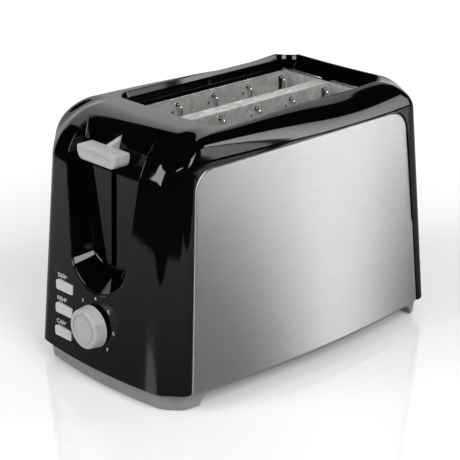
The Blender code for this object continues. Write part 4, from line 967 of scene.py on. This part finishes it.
def skin_of(obj):
    """A tree of an object's faces, for measuring where they lie."""
    return BVHTree.FromPolygons([v.co for v in obj.data.vertices], [p.vertices for p in obj.data.polygons])


def panel_outline(grow, steps=16):
    """A side panel seen from the side: drafted ends and rounded upper corners, as (x, z)."""
    low = HOUSING_FOOT - 0.0002
    top = PANEL_TOP + grow
    radius = PANEL_ROUND + grow

    def end_x(x, z, way):
        return x + way * grow - way * END_DRAFT * (z - HOUSING_FOOT)

    rear = arc((end_x(PANEL_REAR, top, 1) - radius, top - radius), radius, 4, 90, steps)
    front = arc((end_x(PANEL_FRONT, top, -1) + radius, top - radius), radius, 90, 176, steps)
    foot_low = low - grow
    return [(end_x(PANEL_FRONT, low, -1), foot_low), (end_x(PANEL_REAR, low, 1), foot_low)] + rear + front


def side_span(side, near, far):
    return (near, far) if side > 0 else (-far, -near)


def recess_block(name, grow, edge=0.0, skin=None):
    """The space of the recess in the top, with the step half way down its wall and a rounded rim.

    skin is a tree of the body's outer faces, which the rim follows.
    """
    half, front, rear = RIM_HALF_WIDTH + grow, RIM_FRONT - grow, RIM_REAR + grow
    floor = DECK_TOP - (DECK if grow else 0)
    ledge = BODY_HEIGHT - RECESS_DEPTH * 0.45 - grow

    def ring(z, shrink):
        radius = RIM_ROUND + grow - shrink / 2
        low, high = (front + shrink, -half + shrink), (rear - shrink, half - shrink)
        return [(x, y, z) for x, y in rounded_rectangle(low, high, radius, 12)]

    step = RECESS_STEP
    small = 0.0004
    rings = [ring(floor, step + RECESS_DRAFT + small), ring(floor + small, step + RECESS_DRAFT)]
    rings += [ring(ledge - small, step), ring(ledge, step - small)]
    rings += [ring(ledge + 0.0001, RECESS_DRAFT + small), ring(ledge + small, RECESS_DRAFT)]
    sinks = [0.0] * len(rings[0])
    if skin:
        sinks = [skin.ray_cast((x, y, 1.0), (0, 0, -1))[3] - 1 + BODY_HEIGHT for x, y, _z in ring(0.0, -edge)]
    for i in range(6):
        angle = math.pi / 2 * i / 5
        roll = ring(BODY_HEIGHT - edge * (1 - math.sin(angle)) + 0.00001, -edge * (1 - math.cos(angle)))
        rings.append([(x, y, z - sink) for (x, y, z), sink in zip(roll, sinks)])
    rings.append(ring(BODY_HEIGHT + PAST, -edge))
    return loft(name, rings)


class TOASTER_OT_housing(bpy.types.Operator):
    """Moulded black housing with its recess, lever channel, pockets and holes"""

    bl_idname = "toaster.housing"
    bl_label = "Housing"

    def execute(self, context):
        sizes = context.scene.toaster_sizes
        housing = body_solid("gloss_housing", 0.0)
        cavity = body_solid("cavity", WALL)
        cut(cavity, recess_block("recess_wall", WALL), channel_block("channel_wall", WALL))
        skin = skin_of(housing)
        channel = rolled_channel("channel", skin, sizes.mouth_round, sizes.floor_round)
        cut(housing, cavity, recess_block("recess", 0.0, sizes.rim_edge, skin), channel)
        mouth_y = SLOT_OUTER_Y + SHEET + CLEAR
        mouth_x = (SLOT_FRONT - SHEET - CLEAR, SLOT_REAR + SHEET + CLEAR)
        cut(housing, block("mouth", mouth_x, (-mouth_y, mouth_y), (DECK_TOP - DECK - PAST, BODY_HEIGHT)))
        slot_low = CHANNEL_FLOOR_FOOT + 0.0008
        slot_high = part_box("lever_handle")[1].z + 0.001
        gap_x = (channel_floor_x(slot_low) - PAST, channel_floor_x(slot_high) + WALL + PAST)
        cut(housing, block("lever_gap", gap_x, (-LEVER_SLOT / 2, LEVER_SLOT / 2), (slot_low, slot_high)))
        for side in (-1, 1):
            pocket = plate("pocket", panel_outline(PANEL_GAP), *side_span(side, 0.050, 0.100), "Y")
            cut(pocket, body_solid("pocket_floor", PANEL_SHEET + CLEAR))
            cut(housing, pocket)
        for name in ("button_defrost", "button_reheat", "button_cancel"):
            low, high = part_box(name)
            centre = (low + high) / 2
            y = (BUTTON_Y - 0.0085 - CLEAR, BUTTON_Y + 0.0085 + CLEAR)
            z = (centre.z - 0.0034 - CLEAR, centre.z + 0.0034 + CLEAR)
            cut(housing, block("button_hole", (-HALF_LENGTH - PAST, -HALF_LENGTH + 0.012), y, z))
        cut(housing, drum("shaft_hole", (-HALF_LENGTH - PAST, 0, DIAL_Z), 0.0034, 0.012, "X"))
        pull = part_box("tray_pull")
        pull_y = (pull[0].y - CLEAR, pull[1].y + CLEAR)
        cut(housing, block("tray_notch", (0.105, 0.140), pull_y, (0.0, pull[1].z + CLEAR)))
        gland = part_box("cord_gland")
        gland_y, gland_z = (gland[0].y + gland[1].y) / 2, (gland[0].z + gland[1].z) / 2
        cut(housing, drum("cord_hole", (0.110, gland_y, gland_z), 0.0058, 0.03, "X"))
        cut(housing, block("below", (-0.2, 0.2), (-0.1, 0.1), (HOUSING_FOOT - 2 * PAST, HOUSING_FOOT)))
        finish_piece(housing, gloss_black(), "toaster", ["housing"])
        return {"FINISHED"}


# ---------------------------------------------------------------- outer pieces


class TOASTER_OT_side_panels(bpy.types.Operator):
    """Brushed steel side panels with a turned edge"""

    bl_idname = "toaster.side_panels"
    bl_label = "Side panels"

    def execute(self, context):
        edge = context.scene.toaster_sizes.panel_edge
        for side, word in ((-1, "right"), (1, "left")):
            panel = plate(f"steel_panel_{word}", panel_outline(0.0), *side_span(side, 0.050, 0.100), "Y")
            combine(panel, body_solid("skin", 0.0), "INTERSECT")
            combine(panel, body_solid("back", PANEL_SHEET))
            outer = sharp(40)
            round_edges(panel, edge, 3, lambda e: outer(e) and on_skin(e))
            finish_piece(panel, brushed_steel(), "toaster", [f"side_panel_{word}"])
        return {"FINISHED"}


def on_skin(edge):
    """True for an edge of a side panel that lies on its outer face."""
    return any(abs(face.normal.y) > 0.9 and face.normal.y * middle(edge).y > 0 for face in edge.link_faces)


def base_ring(inset, z):
    outline = around(lambda end: quarter_outline(HOUSING_FOOT, inset, end))
    return [(x, y, z) for x, y, _share in outline]


class TOASTER_OT_base(bpy.types.Operator):
    """Grey moulded base with its four feet"""

    bl_idname = "toaster.base"
    bl_label = "Base"

    def execute(self, context):
        edge = context.scene.toaster_sizes.base_edge
        low, top = PAD_STAND, HOUSING_FOOT - CLEAR
        rings = [base_ring(BASE_INSET + 0.0010 + edge, low)]
        rings += [base_ring(BASE_INSET + 0.0010 + edge * (1 - math.sin(a)), low + edge * (1 - math.cos(a)))
                  for a in (math.radians(30), math.radians(60), math.radians(90))]
        rings += [base_ring(BASE_INSET, top)]
        base = loft("grey_base", rings)
        front = -HALF_LENGTH + BASE_INSET + FOOT_LENGTH_FRONT
        rear = HALF_LENGTH - BASE_INSET - FOOT_LENGTH_REAR
        outline = [(front, -PAST), (rear, -PAST)]
        outline += arc((rear - FOOT_CURVE, BASE_FLOOR_LOW - FOOT_CURVE), FOOT_CURVE, 0, 90, 12)
        outline += arc((front + FOOT_CURVE, BASE_FLOOR_LOW - FOOT_CURVE), FOOT_CURVE, 90, 180, 12)
        cut(base, plate("underside", outline, -0.1, 0.1, "Y"))
        cut(base, block("rear_gap", (0.085, 0.140), (-0.046, 0.046), (-PAST, BASE_FLOOR_LOW)))
        pocket = [base_ring(BASE_INSET + WALL, z) for z in (BASE_FLOOR_TOP, top + PAST)]
        cut(base, loft("floor_pocket", pocket))
        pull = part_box("tray_pull")
        pull_y = (pull[0].y - CLEAR, pull[1].y + CLEAR)
        cut(base, block("tray_way", (0.10, 0.14), pull_y, (BASE_FLOOR_TOP, 0.02)))
        for pad in ("front_right", "front_left", "rear_right", "rear_left"):
            box_low, box_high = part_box(f"foot_pad_{pad}")
            centre = (box_low + box_high) / 2
            radius = (box_high.x - box_low.x) / 2 + CLEAR
            place = (centre.x - BODY_X, centre.y, -PAST)
            cut(base, drum("pad_pocket", place, radius, PAST + box_high.z + CLEAR))
        for screw in ("front_right", "front_left", "rear_right", "rear_left"):
            box_low, box_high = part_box(f"base_screw_{screw}")
            centre = (box_low + box_high) / 2
            cut(base, drum("screw_hole", (centre.x - BODY_X, centre.y, 0.0), 0.0016, 0.03, sides=32))
        finish_piece(base, base_grey(), "toaster", ["base"])
        return {"FINISHED"}


# ---------------------------------------------------------------- controls


class TOASTER_OT_knob(bpy.types.Operator):
    """Round browning knob with an inset ring and a pointer ridge"""

    bl_idname = "toaster.knob"
    bl_label = "Knob"

    def execute(self, context):
        low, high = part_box("knob")
        radius = (high.y - low.y) / 2
        back, front = high.x - BODY_X, low.x - BODY_X
        depth = back - front
        knob = drum("browning_knob", (front, 0, DIAL_Z), radius, depth, "X", 128)
        edit(knob, "faces", lambda f: f.normal.x < -0.9)
        bpy.ops.transform.resize(value=(1, KNOB_TAPER, KNOB_TAPER), center_override=(front, 0, DIAL_Z))
        done()
        round_edges(knob, 0.0011, 5, lambda e: sharp(40)(e) and middle(e).x < (back + front) / 2)
        face = radius * KNOB_TAPER
        inner = drum("groove", (front - 0.001, 0, DIAL_Z), face * 0.76, 0.0016, "X", 128)
        core = drum("groove_core", (front - 0.002, 0, DIAL_Z), face * 0.70, 0.004, "X", 128)
        cut(knob, cut(inner, core))
        cut(knob, drum("dish", (front - 0.001, 0, DIAL_Z), face * 0.70, 0.00125, "X", 128))
        round_edges(knob, 0.00012, 2, lambda e: sharp(50)(e) and near_groove(e, face, front))
        turn = math.radians(POINTER_ANGLE)
        ridge_z = (radius * 0.80, radius + 0.0006)
        ridge = block("ridge", (front + 0.0001, back - 0.0012), (-0.0016, 0.0016), ridge_z)
        edit(ridge, "faces", lambda f: f.normal.x > 0.9)
        bpy.ops.transform.resize(value=(1, 0.45, 0.35), center_override=(back - 0.0012, 0, radius * 0.90))
        done()
        round_edges(ridge, 0.00035, 3, sharp(30))
        ridge.data.transform(Matrix.Rotation(turn, 4, "X"))
        shift(ridge, (0, 0, DIAL_Z))
        join(knob, ridge)
        cut(knob, drum("knob_bore", (front + 0.003, 0, DIAL_Z), 0.0033, 0.012, "X", 48))
        finish_piece(knob, controls_grey(), "knob", ["knob"], smooth=35)
        return {"FINISHED"}


def near_groove(edge, radius, front):
    place = middle(edge)
    out = math.hypot(place.y, place.z - DIAL_Z)
    return place.x < front + 0.0002 and out < radius * 0.80


class TOASTER_OT_push_buttons(bpy.types.Operator):
    """Three push buttons with softened faces"""

    bl_idname = "toaster.push_buttons"
    bl_label = "Push buttons"

    def execute(self, context):
        for name in ("defrost", "reheat", "cancel"):
            low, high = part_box(f"button_{name}")
            centre_z = (low.z + high.z) / 2
            face = front_x(BUTTON_Y, centre_z)
            outline = rounded_rectangle((-0.0085, -0.0034), (0.0085, 0.0034), 0.0015, 8)
            cap = plate(f"push_button_{name}", outline, -0.0013, 0.0030, "X")
            edit(cap, "faces", lambda f: f.normal.x < -0.9)
            bpy.ops.mesh.inset(thickness=0.0009, depth=0.0)
            bpy.ops.mesh.inset(thickness=0.0002, depth=-0.00018)
            done()
            round_edges(cap, 0.0004, 4, lambda e: sharp(60)(e) and middle(e).x < -0.0012)
            shift(cap, (face, BUTTON_Y, centre_z))
            neck = block("neck", (face + 0.0025, face + 0.0053), (BUTTON_Y - 0.0075, BUTTON_Y + 0.0075),
                         (centre_z - 0.0024, centre_z + 0.0024))
            flange = block("flange", (face + 0.0049, face + 0.0061), (BUTTON_Y - 0.0100, BUTTON_Y + 0.0100),
                           (centre_z - 0.0046, centre_z + 0.0046))
            stem = block("stem", (face + 0.0053, high.x - BODY_X), (BUTTON_Y - 0.002, BUTTON_Y + 0.002),
                         (centre_z - 0.0015, centre_z + 0.0015))
            join(cap, neck, flange, stem)
            body = f"{name}_button"
            finish_piece(cap, button_grey(), body, [f"button_{name}"])
        return {"FINISHED"}


class TOASTER_OT_lever(bpy.types.Operator):
    """Moulded lever handle with its finger scoop and its tongue through the channel"""

    bl_idname = "toaster.lever"
    bl_label = "Lever handle"

    def execute(self, context):
        low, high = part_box("lever_handle")
        front = low.x - BODY_X
        half = (high.y - low.y) / 2
        depth, tall = HANDLE_DEPTH, HANDLE_HEIGHT
        z = LEVER_Z
        right = arc((half - HANDLE_BROW, tall / 2 - HANDLE_BROW), HANDLE_BROW, 90, 0, 5)
        right += [(half - HANDLE_CHEEK * (1 - math.cos(a)), -tall / 2 + HANDLE_CHIN * (1 - math.sin(a)))
                  for a in (math.radians(degrees) for degrees in range(6, 91, 7))]
        outline = right + [(-y, v) for y, v in right[::-1]]
        handle = plate("lever_grip", outline, front, front + depth, "X")
        shift(handle, (0, 0, z))
        deselect()
        bpy.ops.mesh.primitive_uv_sphere_add(
            segments=96,
            ring_count=48,
            radius=1.0,
            location=(front - 0.0060, 0, z + 0.0001),
            scale=SCOOP_REACH,
        )
        cut(handle, settle(named("scoop")))
        round_edges(handle, 0.0009, 5, lambda e: sharp(50)(e) and abs(middle(e).x - front) < 0.002)
        round_edges(handle, 0.0007, 3, lambda e: sharp(50)(e) and middle(e).x > front + depth - 0.0002)
        tongue_end = channel_floor_x(z) + WALL + 0.0060
        root = front + depth - 0.002
        wedge = [(root, -0.0036), (tongue_end, -0.0036), (tongue_end, 0.0101)]
        wedge += [(root, tall / 2 + 0.0008), (root, -0.0010)]
        tongue = plate("tongue", wedge, -0.0021, 0.0021, "Y")
        round_edges(tongue, 0.0005, 3, lambda e: sharp(35)(e) and middle(e).x < tongue_end - 0.001)
        shift(tongue, (0, 0, z))
        join(handle, tongue)
        arm_way = (tongue_end - 0.0070, tongue_end + PAST)
        cut(handle, block("groove", arm_way, (-0.0011, 0.0011), (z - 0.0026, z + 0.0026)))
        finish_piece(handle, controls_grey(), "carriage", ["lever_handle"])
        return {"FINISHED"}


# ---------------------------------------------------------------- slots


class TOASTER_OT_slot_pan(bpy.types.Operator):
    """Sheet pan around the bread slots, with rolled rims, collars, pierced squares and wire windows"""

    bl_idname = "toaster.slot_pan"
    bl_label = "Slot pan"

    def execute(self, context):
        low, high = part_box("top_plate")
        flange = block("slot_pan", (low.x - BODY_X, high.x - BODY_X), (low.y, high.y),
                       (DECK_TOP - DECK - CLEAR - SHEET, DECK_TOP - DECK - CLEAR))
        collar_low = DECK_TOP - COLLAR_DEPTH
        pan_x = (SLOT_FRONT - SHEET, SLOT_REAR + SHEET)
        pan_y = SLOT_OUTER_Y + SHEET
        across = (-pan_y - PAST, pan_y + PAST)
        join(flange, block("pan", pan_x, (-pan_y, pan_y), (collar_low, high.z)))
        for side in (-1, 1):
            outline = rounded_rectangle((SLOT_FRONT, SLOT_INNER_Y), (SLOT_REAR, SLOT_OUTER_Y), 0.0012, 5)
            hole = plate("slot", [(x, side * y) for x, y in outline], collar_low - PAST, DECK_TOP + PAST, "Z")
            cut(flange, hole)
        inner = SLOT_INNER_Y - SHEET
        cut(flange, block("bridge_hollow", (SLOT_FRONT + SHEET, SLOT_REAR - SHEET), (-inner, inner),
                          (collar_low - PAST, high.z - SHEET)))
        for number in range(4):
            x = GUARD_FIRST_X + GUARD_PITCH * number - PRESSED_AHEAD
            square = [(at - PRESSED_HALF, at + PRESSED_HALF) for at in (x, PRESSED_Z)]
            for wall_y in (-SLOT_OUTER_Y, -SLOT_INNER_Y, SLOT_INNER_Y, SLOT_OUTER_Y):
                inward = -1 if abs(wall_y) > SLOT_INNER_Y else 1
                face = sorted((wall_y, wall_y + math.copysign(PRESSED_RISE, wall_y * inward)))
                join(flange, softened("pressed", square[0], face, square[1], 0.0002, 2))
            pierced = [(at - PIERCED_HALF, at + PIERCED_HALF) for at in (x, PRESSED_Z)]
            cut(flange, block("hole", pierced[0], across, pierced[1]))
        for number in range(5):
            x = GUARD_FIRST_X + GUARD_PITCH * number
            half, foot = (0.0020, collar_low - PAST) if number == 4 else (0.0013, GUARD_BEND_Z - 0.0016)
            cut(flange, block("wire_window", (x - half, x + half), across, (foot, GUARD_BEND_Z + 0.0013)))
        crease = sharp(60)
        round_edges(
            flange, 0.00022, 2,
            lambda e: crease(e) and middle(e).z > high.z - 0.00005 and e.calc_length() > 0.0002,
        )
        finish_piece(flange, galvanised(), "toaster", ["top_plate"])
        rim_z = high.z + RIM_WIRE * 0.6
        for side, hand in ((-1, "right"), (1, "left")):
            outer, inner = side * (SLOT_OUTER_Y + SHEET / 2), side * (SLOT_INNER_Y - SHEET / 2)
            rear = SLOT_REAR + SHEET / 2
            path = [(SLOT_FRONT, outer), (rear - SHEET, outer), (rear, outer - side * SHEET)]
            path += [(rear, inner + side * SHEET)]
            rim = drawn_wire(f"pan_rim_{hand}", [Vector((x, y, rim_z)) for x, y in path], RIM_WIRE)
            rear_y = sorted((outer, inner))
            foot_z = rim_z - 0.0008
            frame_z = (foot_z, rim_z + 0.0004)
            join(rim, softened("frame", (rear + 0.0022, rear + 0.0030), rear_y, frame_z, 0.0002, 2))
            join(rim, softened("ledge", (rear, rear + 0.0026), rear_y, (foot_z, rim_z - 0.0004), 0.0001, 1))
            finish_piece(rim, bright_wire(), "toaster", weighted=False)
        return {"FINISHED"}


class TOASTER_OT_guards(bpy.types.Operator):
    """Wire bread guards with hooked ends"""

    bl_idname = "toaster.guards"
    bl_label = "Bread guards"

    def execute(self, context):
        ys = (SLOT_INNER_Y + GUARD_OFFSET, SLOT_OUTER_Y - GUARD_OFFSET)
        for side, hand in ((-1, "right"), (1, "left")):
            for y, word, toward in ((ys[0], "inner", -1), (ys[1], "outer", 1)):
                low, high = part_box(f"guard_{hand}_{word}")
                way = side * toward
                place = Vector((0, side * y, GUARD_PIVOT_Z))
                ends = (low.x - BODY_X, high.x - BODY_X)
                pivot = [Vector((x, 0, 0)) + place for x in ends]
                guard = drawn_wire(f"wire_guard_{hand}_{word}", pivot, 0.0010)
                first, last = GUARD_FIRST_X - 0.003, GUARD_FIRST_X + 4 * GUARD_PITCH + 0.003
                for height in (0.036, 0.104):
                    rail = [Vector((x, way * 0.0009, height)) + place for x in (first, last)]
                    join(guard, drawn_wire("rail", rail, 0.0007))
                bend = GUARD_BEND_Z - GUARD_PIVOT_Z
                for number in range(5):
                    x = GUARD_FIRST_X + GUARD_PITCH * number
                    curve = [(x, way * (0.0025 - u), v) for u, v in arc((0, bend - 0.0025), 0.0025, 0, 90, 8)]
                    reach = GUARD_OFFSET + SHEET + 0.0032
                    path = [(x, 0.00007, -0.00013)] + curve + [(x, way * reach, bend)]
                    join(guard, drawn_wire("wire", [Vector(p) + place for p in path], 0.0008))
                name = f"guard_{hand}_{word}"
                finish_piece(guard, bright_wire(), name, [name], weighted=False)
        return {"FINISHED"}


# ---------------------------------------------------------------- printing


class TOASTER_OT_printing(bpy.types.Operator):
    """Numbers round the dial and plain words over the push buttons"""

    bl_idname = "toaster.printing"
    bl_label = "Printing"

    def execute(self, context):
        sizes = context.scene.toaster_sizes
        for number in range(1, DIAL_NUMBERS + 1):
            angle = math.radians((number - 4) * DIAL_STEP)
            y = -sizes.number_radius * math.sin(angle)
            z = DIAL_Z + sizes.number_radius * math.cos(angle)
            place = (front_x(y, z), y, z - sizes.number_height * 0.36)
            mark = words(f"dial_number_{number}", str(number), sizes.number_height, place)
            finish_piece(mark, printed_grey(), "toaster", weighted=False)
        for name in ("defrost", "reheat", "cancel"):
            low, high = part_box(f"button_{name}")
            centre_z = (low.z + high.z) / 2
            z = centre_z + 0.0034 + 0.0016
            place = (front_x(BUTTON_Y, z + 0.001), BUTTON_Y, z)
            label = words(f"label_{name}", name.upper(), sizes.label_height, place)
            across = [v.co.y for v in label.data.vertices]
            shift(label, (0, -(max(across) + min(across)) / 2, 0))
            label.data.transform(Matrix.Diagonal((1, LABEL_WIDTH / (max(across) - min(across)), 1, 1)))
            shift(label, (0, BUTTON_Y, 0))
            finish_piece(label, printed_grey(), "toaster", weighted=False)
        return {"FINISHED"}


# ---------------------------------------------------------------- carried-over CAD pieces


class TOASTER_OT_inner_finishes(bpy.types.Operator):
    """Finishes of the pieces that keep their CAD shapes"""

    bl_idname = "toaster.inner_finishes"
    bl_label = "Inner finishes"

    def execute(self, context):
        finishes = {
            "black_gloss": gloss_black(),
            "brushed_steel": brushed_steel(),
            "grey_plastic": base_grey(),
            "light_grey_plastic": controls_grey(),
            "galvanised": galvanised(),
            "bright_steel": bright_wire(),
            "mica": moulded("Mica board", (0.50, 0.42, 0.32), 0.5, 500.0, 0.2, 0.2, 0.22),
            "nichrome": metal("Heating ribbon", (0.38, 0.34, 0.31), 0.45, 800.0, 0.5),
            "rubber": moulded("Rubber", (0.022, 0.022, 0.022), 0.72, 1600.0, 0.2, 0.25, 0.15),
            "laminate": moulded("Board laminate", (0.04, 0.16, 0.07), 0.40, 1300.0, 0.1, 0.1, 0.15),
            "dark_plastic": moulded("Dark moulding", (0.018, 0.018, 0.018), 0.45, 1300.0, 0.12, 0.2, 0.10),
            "copper_winding": metal("Copper winding", (0.62, 0.27, 0.12), 0.38, 900.0, 0.2),
        }
        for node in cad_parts.values():
            for holder in node.material_slots:
                key = holder.material.name.split(".")[0] if holder.material else ""
                if key not in finishes:
                    raise RuntimeError(f"{node.name} has no finish for {key!r}")
                holder.material = finishes[key]
        return {"FINISHED"}


# ---------------------------------------------------------------- stage


SHEET_SPAN = (3.0, 103.0)  # bearings of the white sheet's ends, in degrees from +X
SHEET_TOP = (47.0, 36.5)  # how high the sheet rises towards each end
BOARD_EDGES = (-0.45, -0.52)  # where the white board under the toaster ends
# Painted shadow: the board's colour, as reflections see it, darkens near the toaster.
BOARD_PAINTED_SHADOW = (0.17, 0.60, 0.73, 0.24)  # its reflections dim near the toaster: two distances, two shares
FLOOR_GLOW = (0.12, 0.60)  # near the toaster and far from it
LIT_POINT = Vector((0.0, 0.0, 0.08))
SIDE_FADE = (1.25, 0.55)  # the side softbox's brightness at its two ends
SIDE_SHARE, FILL_SHARE = 0.78, 0.40  # of the side light, in its two softboxes
CAMERA_BEARING, CAMERA_RISE, CAMERA_DISTANCE = -43.42, 21.12, 1.0842
CAMERA_TARGET = Vector((-0.00213, 0, 0.0759))
DARK = (0.02, 0.02, 0.02)


def within(tree, value, low, high, soft):
    """1 between two values, with soft ends."""
    rising = remap(tree, value, low, low + soft, 0.0, 1.0)
    return maths(tree, "MULTIPLY", rising, remap(tree, value, high - soft, high, 1.0, 0.0))


def backdrop_world():
    """A white backdrop to the eye; in reflections a white sheet behind the toaster in a dark room."""
    world = bpy.data.worlds.new("studio")
    bpy.context.scene.world = world
    world.use_nodes = True
    tree = world.node_tree
    tree.nodes.clear()
    parts = add(tree, "ShaderNodeSeparateXYZ")
    tree.links.new(add(tree, "ShaderNodeTexCoord").outputs["Generated"], parts.inputs[0])
    bearing = maths(tree, "ARCTAN2", parts.outputs["Y"], parts.outputs["X"])
    rise = maths(tree, "ARCSINE", parts.outputs["Z"])
    left, right = (math.radians(angle) for angle in SHEET_SPAN)
    top = remap(tree, bearing, math.radians(25), math.radians(60), *(math.radians(a) for a in SHEET_TOP))
    below = maths(tree, "MULTIPLY", maths(tree, "SUBTRACT", top, rise), 60.0, clamp=True)
    mask = maths(tree, "MULTIPLY", within(tree, bearing, left, right, 0.03), below)
    fill = bpy.context.scene.toaster_studio.fill
    strengths = (
        remap(tree, parts.outputs["Z"], 0.0, 1.0, fill * 0.6, fill * 1.8),
        remap(tree, mask, 0.0, 1.0, 0.002, 1.0),
        1.0,
    )
    lights = []
    for strength in strengths:
        light = tree.nodes.new("ShaderNodeBackground")
        light.inputs["Color"].default_value = (1, 1, 1, 1)
        if isinstance(strength, float):
            light.inputs["Strength"].default_value = strength
        else:
            tree.links.new(strength, light.inputs["Strength"])
        lights.append(light.outputs[0])
    path = tree.nodes.new("ShaderNodeLightPath")
    mirrored = maths(tree, "MAXIMUM", path.outputs["Is Glossy Ray"], path.outputs["Is Transmission Ray"])
    shown = lights[0]
    for share, light in ((mirrored, lights[1]), (path.outputs["Is Camera Ray"], lights[2])):
        blend = tree.nodes.new("ShaderNodeMixShader")
        tree.links.new(share, blend.inputs["Fac"])
        tree.links.new(shown, blend.inputs[1])
        tree.links.new(light, blend.inputs[2])
        shown = blend.outputs[0]
    out = tree.nodes.new("ShaderNodeOutputWorld")
    tree.links.new(shown, out.inputs["Surface"])


def floor_material():
    """White glossy board. What the housing mirrors of it ends at the board's near edges, and near the toaster
    it is darkened by a painted shadow.
    """
    made, tree, shader = new_material("Studio floor", specular=0.5)
    colour = bpy.context.scene.toaster_studio.floor
    where = add(tree, "ShaderNodeTexCoord").outputs["Object"]
    drift = noise(tree, where, 3.0, 2.0)
    pale = mixed(tree, drift, shade(colour, 0.995), shade(colour, 1.005))
    parts = add(tree, "ShaderNodeSeparateXYZ")
    tree.links.new(where, parts.inputs[0])
    board = within(tree, parts.outputs["X"], BOARD_EDGES[0], 50.0, 0.02)
    board = maths(tree, "MULTIPLY", board, within(tree, parts.outputs["Y"], BOARD_EDGES[1], 50.0, 0.02))
    path = tree.nodes.new("ShaderNodeLightPath")
    beyond = maths(tree, "MULTIPLY", maths(tree, "SUBTRACT", 1.0, board), path.outputs["Is Glossy Ray"])
    away = add(tree, "ShaderNodeVectorMath", operation="LENGTH")
    tree.links.new(where, away.inputs[0])
    # painted shadow on the board, seen only in reflections: its colour darkens towards the toaster
    painted_shadow_share = remap(tree, away.outputs["Value"], *BOARD_PAINTED_SHADOW)
    painted_shadow_in_mirror = maths(tree, "MULTIPLY", painted_shadow_share, path.outputs["Is Glossy Ray"])
    under = mixed(tree, painted_shadow_in_mirror, pale, DARK)
    tree.links.new(mixed(tree, beyond, under, DARK), shader.inputs["Base Color"])
    tree.links.new(remap(tree, drift, 0.0, 1.0, 0.075, 0.095), shader.inputs["Roughness"])
    shader.inputs["Emission Color"].default_value = (1, 1, 1, 1)
    glow = remap(tree, away.outputs["Value"], 0.22, 0.75, *FLOOR_GLOW)
    glow = maths(tree, "MULTIPLY", path.outputs["Is Camera Ray"], glow)
    tree.links.new(glow, shader.inputs["Emission Strength"])
    return made


def softbox(name, bearing, rise, distance, spread, radiance, fade=None):
    """A rectangular area lamp round the toaster. bearing, rise and spread are in degrees.

    fade gives the brightness at its two ends as shares of radiance.
    """
    turn, lift = math.radians(bearing), math.radians(rise)
    way = Vector((math.cos(turn) * math.cos(lift), math.sin(turn) * math.cos(lift), math.sin(lift)))
    deselect()
    bpy.ops.object.light_add(type="AREA", location=LIT_POINT + way * distance)
    lamp = named(name)
    lamp.data.shape = "RECTANGLE"
    width, height = (2 * distance * math.tan(math.radians(angle) / 2) for angle in spread)
    lamp.data.size, lamp.data.size_y = width, height
    lamp.data.energy = radiance * math.pi * width * height
    lamp.rotation_euler = (-way).to_track_quat("-Z", "Y").to_euler()
    lamp.visible_camera = False
    if fade:
        lamp.data.use_nodes = True
        tree = lamp.data.node_tree
        parts = add(tree, "ShaderNodeSeparateXYZ")
        tree.links.new(add(tree, "ShaderNodeNewGeometry").outputs["Parametric"], parts.inputs[0])
        level = remap(tree, parts.outputs["X"], 0.0, 1.0, *fade)
        tree.links.new(level, tree.nodes["Emission"].inputs["Strength"])
    return lamp


class TOASTER_OT_stage(bpy.types.Operator):
    """Floor, backdrop, lamps and camera"""

    bl_idname = "toaster.stage"
    bl_label = "Stage"

    def execute(self, context):
        studio = context.scene.toaster_studio
        backdrop_world()
        deselect()
        bpy.ops.mesh.primitive_plane_add(size=12.0, location=(0, 0, 0))
        floor = named("studio_floor")
        floor.data.materials.append(floor_material())
        # bearing, rise, distance, spread
        softbox("side_softbox", -43.6, 13.0, 1.5, (10.0, 28.0), studio.side_light * SIDE_SHARE, SIDE_FADE)
        softbox("side_fill", -51.5, 11.0, 1.5, (3.6, 24.0), studio.side_light * FILL_SHARE)
        softbox("left_softbox", 164.0, 27.0, 1.4, (25.0, 27.0), studio.left_light)
        softbox("high_softbox", -107.0, 40.0, 1.5, (26.0, 32.0), studio.high_light)
        deselect()
        bpy.ops.object.camera_add()
        camera = named("studio_camera")
        bearing, rise = math.radians(CAMERA_BEARING), math.radians(CAMERA_RISE)
        level = Vector((math.sin(bearing), -math.cos(bearing), 0))
        back = level * math.cos(rise) + Vector((0, 0, math.sin(rise)))
        camera.location = CAMERA_TARGET + back * CAMERA_DISTANCE
        camera.rotation_euler = (-back).to_track_quat("-Z", "Y").to_euler()
        camera.data.lens = studio.lens
        camera.data.sensor_width = 36.0
        camera.data.clip_start = 0.01
        context.scene.camera = camera
        context.scene.view_settings.view_transform = "Standard"
        return {"FINISHED"}


class TOASTER_PT_pieces(bpy.types.Panel):
    """Lists the toaster's pieces, sizes and colours"""

    bl_idname = "TOASTER_PT_pieces"
    bl_label = "Toaster"
    bl_space_type = "VIEW_3D"
    bl_region_type = "UI"
    bl_category = "Toaster"

    def draw(self, context):
        scene = context.scene
        for group in (scene.toaster_sizes, scene.toaster_colours, scene.toaster_studio):
            column = self.layout.column()
            for name in group.__annotations__:
                column.prop(group, name)
        for step in STEPS:
            self.layout.operator(step.bl_idname)


GROUPS = (ToasterSizes, ToasterColours, ToasterStudio)
STEPS = (
    TOASTER_OT_stage,
    TOASTER_OT_inner_finishes,
    TOASTER_OT_housing,
    TOASTER_OT_side_panels,
    TOASTER_OT_base,
    TOASTER_OT_knob,
    TOASTER_OT_push_buttons,
    TOASTER_OT_lever,
    TOASTER_OT_slot_pan,
    TOASTER_OT_guards,
    TOASTER_OT_printing,
)
CLASSES = (*GROUPS, *STEPS, TOASTER_PT_pieces)


def register():
    for cls in CLASSES:
        bpy.utils.register_class(cls)
    bpy.types.Scene.toaster_sizes = PointerProperty(type=ToasterSizes)
    bpy.types.Scene.toaster_colours = PointerProperty(type=ToasterColours)
    bpy.types.Scene.toaster_studio = PointerProperty(type=ToasterStudio)


def unregister():
    del bpy.types.Scene.toaster_studio
    del bpy.types.Scene.toaster_colours
    del bpy.types.Scene.toaster_sizes
    for cls in reversed(CLASSES):
        bpy.utils.unregister_class(cls)


def main():
    register()
    for step in STEPS:
        group, name = step.bl_idname.split(".")
        getattr(getattr(bpy.ops, group), name)()
    bpy.context.view_layer.update()


if __name__ == "__main__":
    main()
